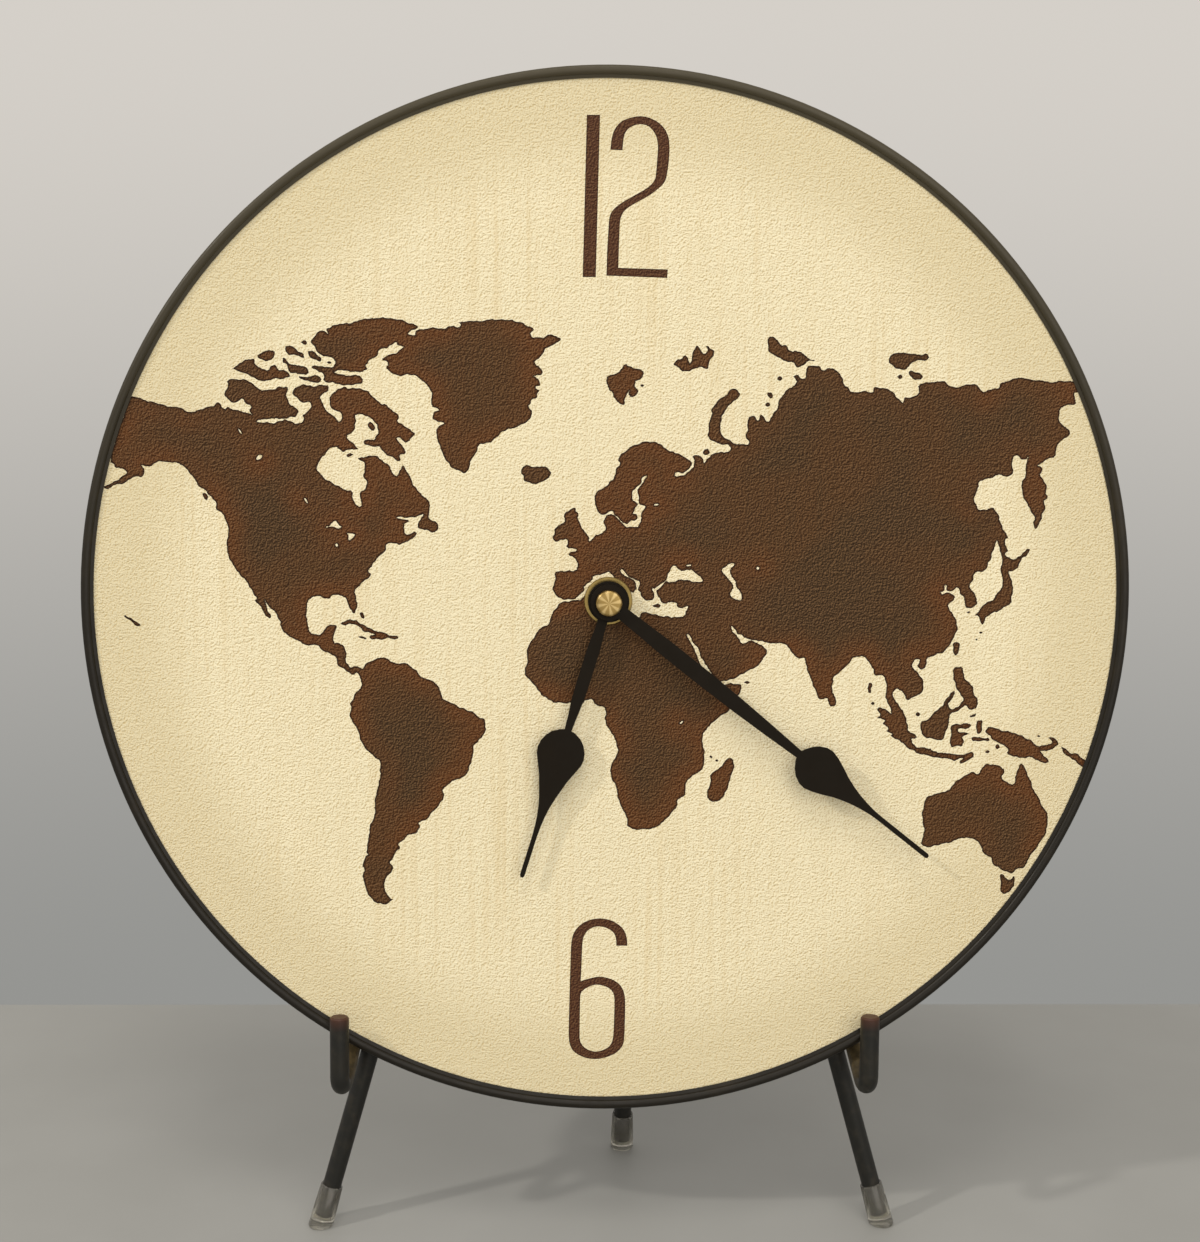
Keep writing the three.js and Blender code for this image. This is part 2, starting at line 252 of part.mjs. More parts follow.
const OLD_WORLD = [
  [-13.3, 0.25], [-13.6, 0.9], [-15.8, 1.8], [-16.2, 3.8], [-15.6, 5.6], [-15.8, 8.5], [-13.9, 9],
  [-9.2, 8.6], [-8.8, 10.5], [-9.6, 12.2], [-11.5, 13.4], [-10.9, 14.4], [-9.2, 14.5], [-9.1, 15.2],
  [-12.3, 15.5], [-11.5, 16.9], [-11.7, 17.7], [-12.5, 18], [-13.7, 17.5], [-15.8, 17.6], [-16.3, 18.3],
  [-15.3, 19.7], [-15.7, 21.1], [-14.1, 22.3], [-12.5, 22.7], [-12.7, 25], [-11.4, 26.4], [-9.4, 27.2],
  [-9.2, 25.8], [-8.3, 25], [-8.8, 24], [-7.6, 21.5], [-6.6, 19.9], [-5.4, 18.5], [-5.6, 17.2], [-5, 17.4],
  [-4.1, 18.9], [-0.9, 20.2], [-0.5, 21.1], [-1.3, 22.3], [-1.1, 24], [-0.2, 24.8], [1.15, 25.35],
  [4.85, 21.85], [5, 21.5], [5.5, 21.2], [7.3, 21.6], [8.9, 21.5], [9.5, 23.5], [9.7, 26], [11, 27.4],
  [9.1, 28.2], [8.6, 29], [8.9, 29.5], [8.8, 31.3], [8.5, 32.5], [10.1, 34.1], [10.4, 34.5], [11.2, 36.2],
  [9.8, 35.8], [9.75, 34.2], [8.25, 32.65], [7.6, 32.1], [6.9, 30.5], [6.9, 29.7], [7.3, 29], [8.3, 28.9],
  [8.75, 28.05], [8.1, 27.2], [6.9, 25.2], [8.5, 25.1], [8.6, 23.9], [7.4, 23.2], [6.9, 23.1],
  [5.15, 22.05], [1.45, 25.6], [1.4, 26], [0.4, 25.9], [-1, 25], [-2.9, 25.6], [-3.5, 27], [-3.7, 29.3],
  [-3.6, 31.3], [-2, 32.5], [-0.2, 33.7], [1.6, 35.7], [2.2, 37.6], [3.4, 39.8], [2.6, 40.8], [3.5, 42.2],
  [4.9, 43], [6.5, 44.3], [9, 45.5], [11.4, 46.4], [13, 46.1], [15.1, 45.5], [17.1, 43.6], [19.5, 43],
  [22.4, 41.6], [24.2, 40.1], [24.3, 38.9], [22.3, 36.95], [19.7, 37], [19.7, 36.3], [22.5, 36.1],
  [22.55, 36.75], [24.6, 38.6], [25.1, 38.7], [25.1, 40.3], [24.4, 42], [26.9, 42.2], [27.7, 41],
  [27.9, 40], [28.7, 41], [29.9, 42], [31.4, 42.6], [32.7, 43.1], [33.3, 42.8], [35.2, 43.1], [35.6, 44.3],
  [34.8, 45.2], [33.1, 45.4], [31, 45.8], [29.7, 46.9], [28.8, 47.9], [29.3, 49.4], [29.3, 51.1],
  [30.1, 53.7], [29.8, 55.2], [31, 57.1], [32.7, 58.8], [34.8, 59.8], [35.6, 60.9], [36.9, 61.3],
  [38.4, 60], [38, 58.9], [35.6, 57], [33.9, 55.1], [33.1, 53.2], [32.7, 50.7], [32.7, 49], [33.7, 47.1],
  [35.6, 46.2], [37.3, 45.4], [39.9, 44.9], [40.7, 45.1], [40.9, 46.4], [40, 47.1], [40.3, 49],
  [40.5, 52.8], [42.2, 53.5], [42.9, 52.4], [43.5, 51.9], [44.1, 53.9], [45.2, 53.2], [45.8, 52],
  [46.7, 52], [48, 54.1], [49, 55.1], [49.4, 57.5], [51.1, 60], [53, 61.7], [54.9, 63], [54.3, 64],
  [53.4, 64.7], [54.7, 65.1], [56, 64], [57.4, 64], [57.2, 66.3], [58.1, 67.8], [61.2, 67.5], [62.1, 66.5],
  [64.4, 66.9], [66.5, 66], [68, 64.3], [68.4, 61.8], [69.5, 61.3], [70.3, 60], [72.4, 60.2], [74.1, 60.2],
  [76.8, 59.6], [77, 61.8], [78.9, 61.3], [81.6, 60.9], [83.3, 59.1], [85.4, 57], [85.6, 58.6],
  [87.4, 58.4], [90, 59.3], [89.8, 62.3], [93.2, 62.8], [96, 63.2], [97.9, 63.1], [98.6, 62], [101.6, 61.3],
  [104.4, 62.2], [106.7, 62.2], [108.5, 60], [110.4, 60.5], [113.4, 61.2], [113.9, 62.4], [115.7, 63.1],
  [119.2, 64], [122.4, 63.7], [125.7, 63], [129.4, 62.6], [132.2, 63.3], [134.2, 62.8], [137.5, 63],
  [138, 60], [135.2, 59.6], [136.1, 56.8], [135, 56.1], [132.5, 56.1], [131.3, 55.2], [131.1, 51.5],
  [132.7, 50.1], [134.3, 48.3], [133.9, 46.9], [131.9, 46.2], [130.5, 43.7], [130.3, 40.9], [127.7, 40.7],
  [126.1, 39.3], [125, 38.6], [126.6, 38.2], [126.4, 36.8], [125.3, 36.1], [126.7, 34.9], [128, 32.2],
  [127.4, 30.8], [128.2, 29.4], [127, 28], [127.5, 26.4], [126.6, 24.8], [126.4, 22.9], [125.5, 20.6],
  [124.5, 20.2], [124, 22], [124.8, 22.7], [122.6, 26.6], [120.7, 29.9], [120.4, 33.6], [121.5, 35.4],
  [121.9, 39.6], [122.3, 41.4], [121.6, 40.5], [120.7, 40.3], [119.5, 41.2], [118.8, 41.9], [117.9, 41],
  [117.4, 38.4], [118.4, 36.8], [115.9, 35.2], [114, 36.1], [113.1, 35.4], [109.9, 35], [108, 34.1],
  [107.6, 31.8], [106.5, 28.3], [107.7, 27.1], [107.9, 26.2], [110.3, 25.7], [110.9, 26.3], [112, 26.5],
  [113.4, 25.1], [114.3, 22.4], [115.7, 19.7], [117, 17.7], [115.7, 17.2], [116.4, 15.2], [117, 13.8],
  [116.2, 13.2], [116, 12.7], [118.2, 11.1], [119.7, 11.9], [122.3, 14.6], [123.4, 14.2], [122.8, 13.2],
  [120.3, 10.7], [119.9, 9.2], [118.5, 7.6], [116.9, 7.6], [117.7, 6], [118.4, 4.1], [118.2, 0.4],
  [118.2, -1.7], [115.3, -3.1], [114.1, -4.1], [112.3, -4.3], [110.8, -5.3], [110.5, -7], [109.8, -8.2],
  [109, -7.2], [108.4, -5.4], [107.2, -5.1], [108.2, -3.9], [109.6, -2.1], [111.2, -1], [112.9, -0.4],
  [113.3, 1.2], [115.2, 2.7], [115.4, 4.5], [115.1, 6.6], [114.5, 8.4], [115.2, 10.3], [114.8, 13.1],
  [113.9, 16.4], [113.5, 17], [112.7, 14.8], [111.7, 11.5], [110.5, 8.6], [109.3, 7.8], [107.7, 7.6],
  [106.9, 6.4], [106.9, 5.3], [105.6, 3.7], [106.9, 2], [108, 0.2], [108, -1.7], [107, -2.7],
  [105.1, -2.9], [104.5, -1.7], [104, 0.4], [102.8, 1.2], [102.5, 2.7], [101.7, 3.3], [100.3, 2.1],
  [99, 2.5], [99, 3.8], [98.4, 3.8], [98, 2.3], [97, 1.9], [97.8, 1.3], [99.4, 1.7], [101.5, 0.5],
  [100.9, -0.4], [99.1, -1.8], [100.3, -3.5], [101.8, -5.8], [102.4, -8.7], [101.4, -11.1], [100.8, -12.8],
  [99.8, -14.4], [98, -16.1], [95.6, -16.7], [93.3, -17.9], [93.5, -19.1], [92.9, -20.4], [91.7, -20.8],
  [90.7, -20], [91.1, -18.7], [91.3, -17.9], [90.2, -17.7], [89, -19.3], [89.6, -20.6], [91.3, -22.2],
  [92.3, -24.3], [92.5, -26.4], [91.9, -28], [89.9, -28.9], [88.3, -30], [87.5, -29.7], [87.3, -28.4],
  [85.4, -26.8], [84.6, -26.4], [83.4, -28], [84.4, -30.1], [85.3, -31.2], [86.9, -33.4], [88.2, -37.9],
  [88.2, -39.2], [90.9, -40.8], [90.3, -41.4], [89, -41.3], [89.1, -42.9], [91.4, -44], [94.6, -44.6],
  [97.8, -45.7], [102.1, -46.2], [105.3, -46.3], [107.4, -45.5], [108.2, -46.9], [106.3, -47.9],
  [103.9, -49], [103.4, -48.4], [104.5, -47.4], [103.1, -47.6], [102.1, -48.3], [99.9, -47.4],
  [95.7, -47], [91.5, -45.9], [88.3, -44.5], [86.1, -42.3], [82.9, -40.7], [83.7, -39.9], [81.6, -39.1],
  [82.6, -38.3], [80.2, -36.8], [81.3, -36], [78.9, -35.2], [80, -34.4], [78.6, -32.8], [79.7, -32],
  [81.8, -32.8], [83.1, -33.9], [82.9, -32.3], [81.3, -29.9], [81.8, -26], [80.7, -22.5], [78.1, -22.6],
  [77.7, -21.5], [77.6, -20.2], [76.3, -18.5], [74.8, -16.8], [72.2, -17.1], [70.9, -18.5], [68.2, -21.3],
  [65.8, -23.1], [65.8, -25.8], [65.4, -27.4], [66.4, -28.2], [67.1, -29.9], [66.6, -31.4], [65.3, -31.8],
  [64.5, -30.8], [64.5, -29.3], [63.8, -29.1], [63, -29.7], [61.7, -29.3], [60.8, -27.2], [59.3, -23.6],
  [58.1, -21], [57.7, -18.5], [57.5, -17], [56, -17.6], [54.7, -16.6], [53.4, -14.7], [51.9, -13.2],
  [50.6, -12.8], [47.4, -12.9], [45.3, -12.4], [43.6, -12.2], [41.4, -11.5], [39.9, -11.1], [38.6, -10.2],
  [37.5, -9.8], [36.5, -8.1], [36, -7.8], [36.2, -8.7], [37.5, -10.7], [38.6, -11.3], [39, -12.8],
  [40.3, -12.6], [41.3, -11.85], [43.5, -12.6], [45.3, -13.6], [46.6, -15.4], [45.1, -17.9], [42.3, -20.5],
  [39.7, -21.6], [36.2, -23.5], [33.2, -24], [32.6, -24.2], [30.1, -21.5], [28.3, -18.8], [26.6, -16.6],
  [26.5, -14.7], [25, -12.8], [23.8, -10.7], [23.1, -10], [22.6, -10.3], [24.3, -13.1], [25.7, -15.5],
  [26.2, -17.2], [27.6, -19.8], [28.4, -21.3], [29.6, -22], [32.4, -24.6], [33.2, -24.9], [36.1, -24.7],
  [38.8, -24.6], [38.8, -26.3], [38.1, -28.2], [36.8, -30.6], [35.2, -32.6], [32.3, -34.6], [29.4, -37.3],
  [27.4, -40], [27.7, -42.9], [28.2, -45.4], [28.2, -48.8], [27.5, -50.3], [25, -51.8], [22.6, -53.7],
  [22.8, -56.7], [22.3, -57.9], [20.1, -59.1], [19.9, -61.1], [18.2, -63.6], [15.7, -66.3], [12.8, -67.6],
  [7.4, -68.1], [5.4, -67.1], [5.2, -64.6], [4.4, -62.6], [3, -59.6], [2.2, -55.2], [0.3, -51], [0.8, -47.7],
  [2.8, -45], [1.8, -40.8], [0.4, -38.1], [-1.4, -35.4], [-0.7, -32.9], [-1, -31.2], [-3.9, -30.7],
  [-5.1, -29], [-6.8, -29.1], [-7.5, -30], [-10.9, -30], [-15.3, -30.2], [-17.7, -29], [-20.3, -27.1],
  [-21.6, -24.6], [-24, -22.2], [-24.6, -20], [-23.5, -17.3], [-24, -14.1], [-23, -12.2], [-21.3, -9.7],
  [-19.8, -8], [-17.4, -6.6], [-16.9, -4.6], [-16, -2.7], [-13.6, -0.2], [-11.5, -0.1], [-9.1, 0],
  [-7.4, 0.9], [-6.4, 2], [-4, 2.2], [-1, 2], [1.8, 1.2], [3, -0.6], [4, -3], [6.9, -4.3], [9.1, -5.3],
  [9.7, -3.7], [11.4, -3.4], [14.2, -4.5], [16.7, -4.9], [19.9, -4.9], [22.2, -4.9], [23.2, -1.8],
  [22.4, -2.2], [21.4, -2.6], [20.3, -1.8], [20, -0.6], [17.9, -0.6], [15.8, -0.8], [14.8, 0.4],
  [14.4, 1.7], [13.95, 3.1], [17.1, 5.65], [17.3, 5.4], [19.1, 5.4], [20.8, 6.1], [22.8, 6], [24.8, 5.3],
  [27.3, 5.3], [27.6, 5.9], [25.7, 7.8], [23.6, 8.8], [21.6, 8.4], [20.7, 8.8], [19.7, 10], [18.7, 10.2],
  [17.9, 8.4], [16.9, 5.95], [13.7, 3.4], [12.8, 3.5], [13.2, 2], [13.4, 0.9], [12.6, -0.2], [10.9, 0],
  [9.7, 1.1], [9.1, 2.7], [8.75, 3.1], [8.85, 5.1], [8.7, 5.6], [5.2, 7.6], [4, 9.1], [3.7, 8.7],
  [4.8, 7.2], [6.9, 6], [8.45, 5.2], [8.35, 3.15], [7.9, 3.1], [7.2, 2], [5.4, 3.4], [3.2, 5], [1.5, 7.1],
  [0.6, 8], [0, 8.5], [-1.9, 7.4], [-4.4, 7.2], [-4.5, 6], [-5.8, 5], [-7.2, 4.2], [-7, 3.5], [-7.6, 2.3],
  [-9.1, 0.8], [-11.3, 0.3],
];
const AUSTRALIA = [
  [93.2, -59.5], [96.4, -58], [100.1, -57.2], [101.7, -54.8], [104.1, -53.7], [105.9, -52], [107.5, -51.5],
  [108.8, -52.4], [110.1, -50.2], [111.2, -49.2], [113.8, -49.3], [116.7, -50.3], [117, -51.9],
  [116.2, -53.2], [118, -54.8], [119.7, -55.4], [120.2, -52.7], [121.2, -49.8], [122, -49.1], [122.8, -50.1],
  [123.4, -52], [124.7, -53.6], [125.3, -57.1], [127.4, -59.5], [128.5, -62.2], [130.4, -64.6],
  [130.1, -67.8], [129.3, -71.1], [126.7, -74.9], [124.3, -77.9], [123.3, -80.5], [121.1, -81.1],
  [119.3, -82.2], [117.7, -81.4], [115.3, -80.5], [113.6, -78.9], [113.6, -77.3], [111.4, -76.7],
  [110.3, -74.3], [109.2, -72.1], [107.1, -71.2], [103.9, -71.5], [99.6, -73.2], [97, -73.3], [94.6, -74.1],
  [92.8, -73.5], [92.1, -72.7], [93.3, -70.5], [93, -67.1], [92.4, -64.1], [93, -62.2],
];
const BORNEO_AND_PHILIPPINES = [
  [101.8, -20.1], [104.1, -20.1], [104.3, -22], [104.2, -23.4], [106.3, -25], [107.3, -26.3], [107.4, -28.1],
  [108.5, -29.6], [108.5, -31.7], [107.3, -33.1], [105.9, -32.7], [105, -31.7], [104.2, -32.3],
  [102.4, -33.3], [100.7, -34], [100.2, -36.4], [99.9, -38], [98.9, -40.2], [98.6, -42], [96.3, -42],
  [93.1, -41.2], [91.8, -39.6], [91.5, -36.5], [93.9, -35.9], [96.2, -33.3], [98.3, -31.7], [98.6, -30.6],
  [99.9, -28.8], [101.6, -26.9], [102.1, -27.6], [102, -28.6], [99.9, -30.6], [99.7, -31.4], [101.2, -32.9],
  [103.3, -31.8], [104.7, -30], [103.4, -28.3], [102.6, -27.2], [101.9, -26.6], [101.9, -25], [101.3, -23.5],
  [101.5, -21.2],
];
const NEW_GUINEA = [
  [111.1, -38.7], [112, -38.2], [114.9, -38.9], [115.9, -39.5], [116.5, -39.2], [119.9, -40], [123.1, -41.3],
  [125.5, -42.7], [126.6, -44], [129.5, -43.8], [131, -43], [130.8, -42.2], [129.2, -41.6], [129.5, -41.1],
  [131.6, -41.6], [132.9, -43], [131.6, -44.6], [129.3, -45.4], [127.4, -45.4], [128.5, -47], [130.3, -48.6],
  [129.6, -49.4], [126.9, -48.7], [124.5, -46.9], [122.9, -47.7], [120, -47.1], [117.4, -46.3],
  [118.2, -44.7], [115.7, -43.3], [113.1, -42.2], [112.3, -40.6], [110.9, -39.6],
];
const ISLANDS = {
  melville: [
    [-107.7, 67.5], [-105.8, 68.9], [-103.7, 69.8], [-101.3, 70.4], [-100.8, 69.5], [-101, 68.8],
    [-99.1, 67.4], [-97.2, 66.8], [-96.5, 68.3], [-95.1, 68.7], [-94.4, 67.2], [-92.5, 66.9], [-90.8, 65.3],
    [-92, 64.8], [-95.3, 64.5], [-98.6, 63.6], [-100.5, 64.5], [-102.9, 65.7], [-105.3, 66.6],
  ],
  princePatrick: [
    [-100.5, 70.9], [-99.3, 72], [-97.3, 72.8], [-95.2, 72.6], [-95.2, 71], [-97, 69.4], [-98.7, 69.8],
  ],
  bathurst: [
    [-93.2, 70.5], [-92, 70.5], [-91.5, 69], [-89.6, 68.3], [-86.3, 68], [-85.6, 66.4], [-86.8, 65.6],
    [-89.6, 65.7], [-91.1, 66.6], [-92, 67.8], [-91.9, 68.7], [-92.9, 69.3],
  ],
  ringnes: [
    [-92.5, 73.6], [-90.6, 73.9], [-88.8, 72.8], [-87, 71.8], [-86.6, 70.4], [-87.4, 70.2], [-89.4, 71.3],
    [-91.7, 71.4],
  ],
  axel: [
    [-86.1, 72.5], [-84.2, 72.2], [-83, 71.1], [-81.8, 70.2], [-82.3, 69.2], [-83.6, 69.9], [-85.5, 70.6],
  ],
  cornwallis: [
    [-88.6, 65.3], [-86.5, 65], [-85, 65.4], [-83.4, 65.6], [-82, 64.5], [-82.4, 63.4], [-84, 63.3],
    [-85.5, 63.9], [-88, 64.2],
  ],
  meighen: [[-87.7, 74.9], [-86.8, 75.3], [-86, 74.7], [-86.7, 74.2]],
  kent: [[-80.4, 69.2], [-79.6, 69.6], [-78.9, 69.2], [-79.3, 68.5]],
  princeCharles: [[-69.1, 50.6], [-69.2, 51.6], [-68.4, 52.5], [-67.3, 51.8], [-66.9, 50.6], [-67.6, 49.6]],
  coats: [[-75.5, 42.6], [-74.3, 43.4], [-73.2, 43], [-73.9, 42.1], [-75, 41.9]],
  haidaGwaii: [[-117, 31.7], [-116.3, 32.2], [-115.5, 31.2], [-115.3, 29.8], [-116, 29.9]],
  hawaii: [
    [-140.5, -3.4], [-139.7, -3.3], [-137.5, -4.8], [-135.3, -6.1], [-135.8, -6.9], [-137.1, -6.6],
    [-137.9, -5.3], [-140, -4],
  ],
  cubaAndHispaniola: [
    [-77.8, -6.2], [-75.6, -4.8], [-73, -5.4], [-70.5, -7], [-67.7, -8.5], [-64.6, -9], [-63.4, -9.9],
    [-61.2, -10], [-61.2, -10.9], [-63.8, -10.6], [-66.4, -11], [-69.4, -10.6], [-69.4, -9.7],
    [-68, -9.4], [-70.5, -8.8], [-72.6, -7.2], [-74.6, -6.1], [-77, -6.7],
  ],
  jamaica: [[-72.8, -10], [-71.8, -9.8], [-70.3, -10.3], [-70.5, -11], [-72, -10.8]],
  bahamas: [[-72.3, -3.2], [-71.4, -3], [-70.9, -4.4], [-71.3, -5], [-72.1, -4.3]],
  iceland: [
    [-25.3, 37.9], [-24.6, 39], [-23.3, 39.4], [-21.5, 39], [-19.3, 39], [-17.8, 39.2], [-16.9, 38.3],
    [-16.5, 37], [-17.4, 35.5], [-19.3, 34.6], [-21.1, 33.8], [-22.9, 34.4], [-24.4, 34.9], [-24.4, 36.1],
  ],
  svalbard: [
    [-0.3, 65.1], [3.1, 65.7], [5.1, 68.6], [6.8, 67.3], [9.3, 66.8], [10.6, 66.1], [9.8, 64.2], [7.6, 63.2],
    [8.9, 60.3], [7.6, 58.6], [6.1, 59.2], [6.3, 61], [5.4, 59.4], [5, 56.8], [3.9, 56.6], [1.9, 58.5],
    [1.7, 60.5], [0.1, 61.2], [-0.3, 63.3],
  ],
  kongKarls: [[9.2, 62.4], [10, 62.8], [10.6, 62.2], [9.9, 61.6]],
  franzJosef: [
    [18.8, 68.1], [20, 69.6], [21.6, 69.6], [22.3, 70.9], [23.1, 70], [23.7, 68.1], [24.3, 69.8],
    [25.2, 73.4],
    [26.3, 73.7], [26.9, 71.9], [28, 71.3], [28.6, 72.3], [28, 73.4], [29, 73.6], [30.5, 72.1], [30.7, 71.1],
    [29.7, 69.6], [29.2, 68.3], [29, 66.8], [28, 66.8], [26.9, 67.5], [25.2, 67.1], [23.6, 66.1],
    [21.2, 66.4], [20, 67.7],
  ],
  severnaya: [
    [46.2, 75.5], [47, 76.3], [49.1, 75], [50, 73.6], [51.7, 73.4], [53.1, 71.6], [54.8, 72.1], [57.2, 70.8],
    [58, 69.7], [59.9, 69.5], [59.9, 68.9], [58, 68.9], [56.3, 67.8], [55.1, 67], [54.2, 67.8], [53.6, 69.1],
    [51.7, 69], [50, 69.7], [48.3, 70.4], [46.8, 71.2], [46, 73.4],
  ],
  karaEast: [[49.1, 64.1], [49.8, 64.7], [50.4, 64.1], [49.7, 63.5]],
  karaMid: [[46.1, 60], [47.4, 60.4], [47.8, 58.6], [46.9, 58.2]],
  karaWest: [[45.6, 56.6], [46.4, 57], [47, 56.5], [46.3, 56]],
  kolguyev: [[27.5, 43], [28.1, 44], [29.2, 44], [29.8, 43], [29.2, 42], [28.1, 42]],
  newSiberian: [
    [80.7, 68.7], [82, 71], [84.8, 71.3], [88, 71], [89.9, 70.7], [92.2, 71], [93.1, 70.2], [92.6, 69.2],
    [90.3, 69.1], [88.9, 69.3], [87.8, 68], [86.2, 66.4], [84.3, 66.4], [82.5, 67.5],
  ],
  lyakhovsky: [[87, 65.7], [87.5, 66.4], [88.3, 66], [90, 65.6], [91.3, 64.4], [90.5, 63.8], [88.5, 63.4]],
  stolbovoy: [[83.5, 64.5], [84.4, 65], [85.3, 64.4], [84.5, 63.9]],
  taiwan: [
    [101, -13.2], [102.3, -12.9], [103.1, -13.6], [102.9, -15.9], [101.9, -17.2], [100.8, -16.1],
    [101.1, -14.6],
  ],
  jeju: [[104.7, -4], [105.5, -3.6], [106.2, -4.1], [105.4, -4.6]],
  amami: [[108.5, -10.1], [109.1, -9.7], [109.8, -10.1], [109.1, -10.6]],
  okinawa: [[107.3, -12.1], [108.1, -11.6], [108.7, -12], [108, -12.6]],
  sulawesi: [
    [100.6, -38], [101.5, -37.3], [106.2, -36.8], [107, -37.6], [105.7, -38.6], [103.1, -38.6],
    [103.1, -39.4],
    [104.7, -39.7], [107, -40.2], [104.1, -40.9], [104.9, -42.4], [104.1, -43.9], [102.8, -43.5],
    [101.5, -44.3], [100.4, -43.5], [100.7, -40.8],
  ],
  halmahera: [[108.5, -36.2], [110.1, -36], [110.3, -37.6], [109.7, -40.2], [108.4, -40.2], [108.2, -37.8]],
  seram: [
    [106.8, -41.3], [109, -41], [110.5, -41.4], [112.1, -41.2], [112, -42.3], [109.5, -42.4], [107, -42.3],
  ],
  sangir: [[106.2, -34.8], [107.5, -34.1], [108.6, -33.7], [108.2, -34.6], [106.8, -35.4]],
  natuna: [[90.2, -34.1], [91, -33.5], [91.8, -34.1], [91, -34.7]],
  aru: [[113.9, -44.1], [114.7, -43.3], [115.4, -44.1], [114.7, -44.9]],
  tanimbar: [[111, -45.6], [111.8, -44.9], [112.6, -45.5], [111.8, -46.1]],
  admiralty: [[126, -41], [126.8, -40.4], [127.6, -41], [126.8, -41.6]],
  solomon: [
    [133.5, -44.1], [134.8, -44.5], [136.4, -46.2], [138.3, -46.4], [139.9, -47.5], [143, -49.5],
    [142, -51.5],
    [139.4, -49.7], [137.8, -48.6], [135.9, -47.2], [134.3, -45.9],
  ],
  andaman: [[76.4, -24.7], [77.4, -24.7], [77.2, -26.2], [77.1, -27.9], [76, -27.8], [76.2, -25.9]],
  nicobar: [[76.9, -30.9], [77.7, -30.3], [78.4, -30.9], [77.7, -31.5]],
  tasmania: [
    [116.1, -82.4], [117.1, -82.3], [117.7, -83.6], [119, -84.1], [120.1, -82.9], [120.7, -83.3],
    [120.4, -85.7], [119.3, -87.8], [117.4, -88.3], [116.1, -87.5], [116.4, -85.1],
  ],
  madagascar: [
    [35.5, -46.6], [36.5, -46.8], [37, -49.5], [35.8, -53], [34.6, -56.5], [33.1, -59.2], [30.9, -60],
    [29.2, -59], [28.7, -56.5], [29.9, -54.3], [29.9, -51.3], [32.8, -49.5], [34, -47.8],
  ],
  comoros: [[29.4, -46.4], [30.1, -45.8], [30.8, -46.4], [30.1, -47]],
  mayotte: [[31.1, -47.5], [31.8, -47.1], [32.4, -47.5], [31.8, -48]],
  socotra: [[39.8, -24.4], [40.8, -23.9], [41.8, -24.4], [40.8, -24.9]],
  crete: [[12.4, -1.3], [14, -0.9], [15.6, -1.4], [15.3, -2.1], [13.3, -2.1]],
};
// Inland water set into the land as its own chip of the pale sheet.
const CASPIAN = [
  [33.1, 8.7], [34.6, 10], [35.9, 10.8], [37, 10.6], [36.8, 10.1], [35.7, 9.6], [35.2, 8.5], [35.7, 7.2],
  [37, 5.5], [37.2, 3.8], [38.7, 2.1], [39, 0.1], [37.6, 0.1], [35.8, 1], [35.8, 2.3], [36.7, 3.6],
  [36.1, 4.6], [34.6, 6.3], [33.7, 7.8],
];
const SUPERIOR = [
  [-81.8, 21.8], [-80, 22.6], [-79, 23.7], [-77.9, 22.6], [-76.7, 22], [-77.7, 21.3], [-79.2, 22.2],
];
// Strokes of the three figures, drawn on the same sheet.
const FIGURE_ONE = [[-5.6, 138.6], [-1.85, 138.6], [-3.25, 93.1], [-7, 93.1]];
const FIGURE_TWO = [
  [1.05, 128.9], [1.4, 132], [2.15, 134.5], [3.95, 136.7], [6.3, 137.7], [9.2, 138.3], [11.7, 138],
  [14.6, 136.7], [16.6, 134.7], [17.7, 132.4], [17.95, 129.2], [17.7, 125.6], [17.25, 122.4], [16.9, 120.6],
  [16.1, 119.2], [14.3, 117.6], [11.75, 115.8], [8.1, 113.9], [5.95, 112.6], [4.5, 111.2], [3.75, 109.2],
  [3.55, 105.6], [3.2, 95.7], [17.4, 95.2], [17.2, 92.8], [-0.2, 93.5], [0.05, 101.3], [0.4, 106.3],
  [0.6, 109.5], [1.15, 111.2], [2.25, 112.6], [4.45, 114.2], [7.75, 116], [11.35, 118], [13, 119.4],
  [13.85, 120.8], [14.1, 122.7], [14.45, 127], [14.65, 129.9], [14.25, 132.4], [13.2, 134.3], [11.7, 135.6],
  [9.9, 136], [8.1, 135.8], [6.3, 134.9], [5.2, 133.5], [4.75, 131.7], [4.5, 128.7],
];
const FIGURE_SIX = [
  [2.05, -102.9], [5.3, -102.9], [5.2, -100.8], [4.7, -98.8], [3.55, -97.1], [1.2, -95.4], [-1.1, -94.7],
  [-3.1, -94.5], [-5.4, -94.8], [-7.7, -95.7], [-9.7, -97.4], [-10.9, -99.4], [-11.4, -102.1],
  [-11.6, -107.9], [-11.9, -116], [-12.1, -122.8], [-12.3, -129.7], [-12.1, -132.4], [-11.3, -134.5],
  [-9.6, -136], [-6.9, -137.2], [-3.9, -137.5], [-0.9, -136.9], [1.8, -135.7], [3.5, -134], [4.15, -132.5],
  [4.4, -129.7], [4.6, -122.8], [4.6, -118.7], [4.05, -116.3], [2.9, -114.5], [0.9, -113.1], [-1.8, -112.3],
  [-3.5, -112.2], [-5.5, -112.6], [-7.5, -113.1], [-8.6, -113.6], [-8.3, -107.9], [-8.1, -102.5],
  [-7.75, -100.1], [-6.7, -98.4], [-5.4, -97.4], [-3.4, -96.9], [-1.4, -97.2], [0.4, -98.1], [1.55, -99.3],
  [1.95, -100.8],
];
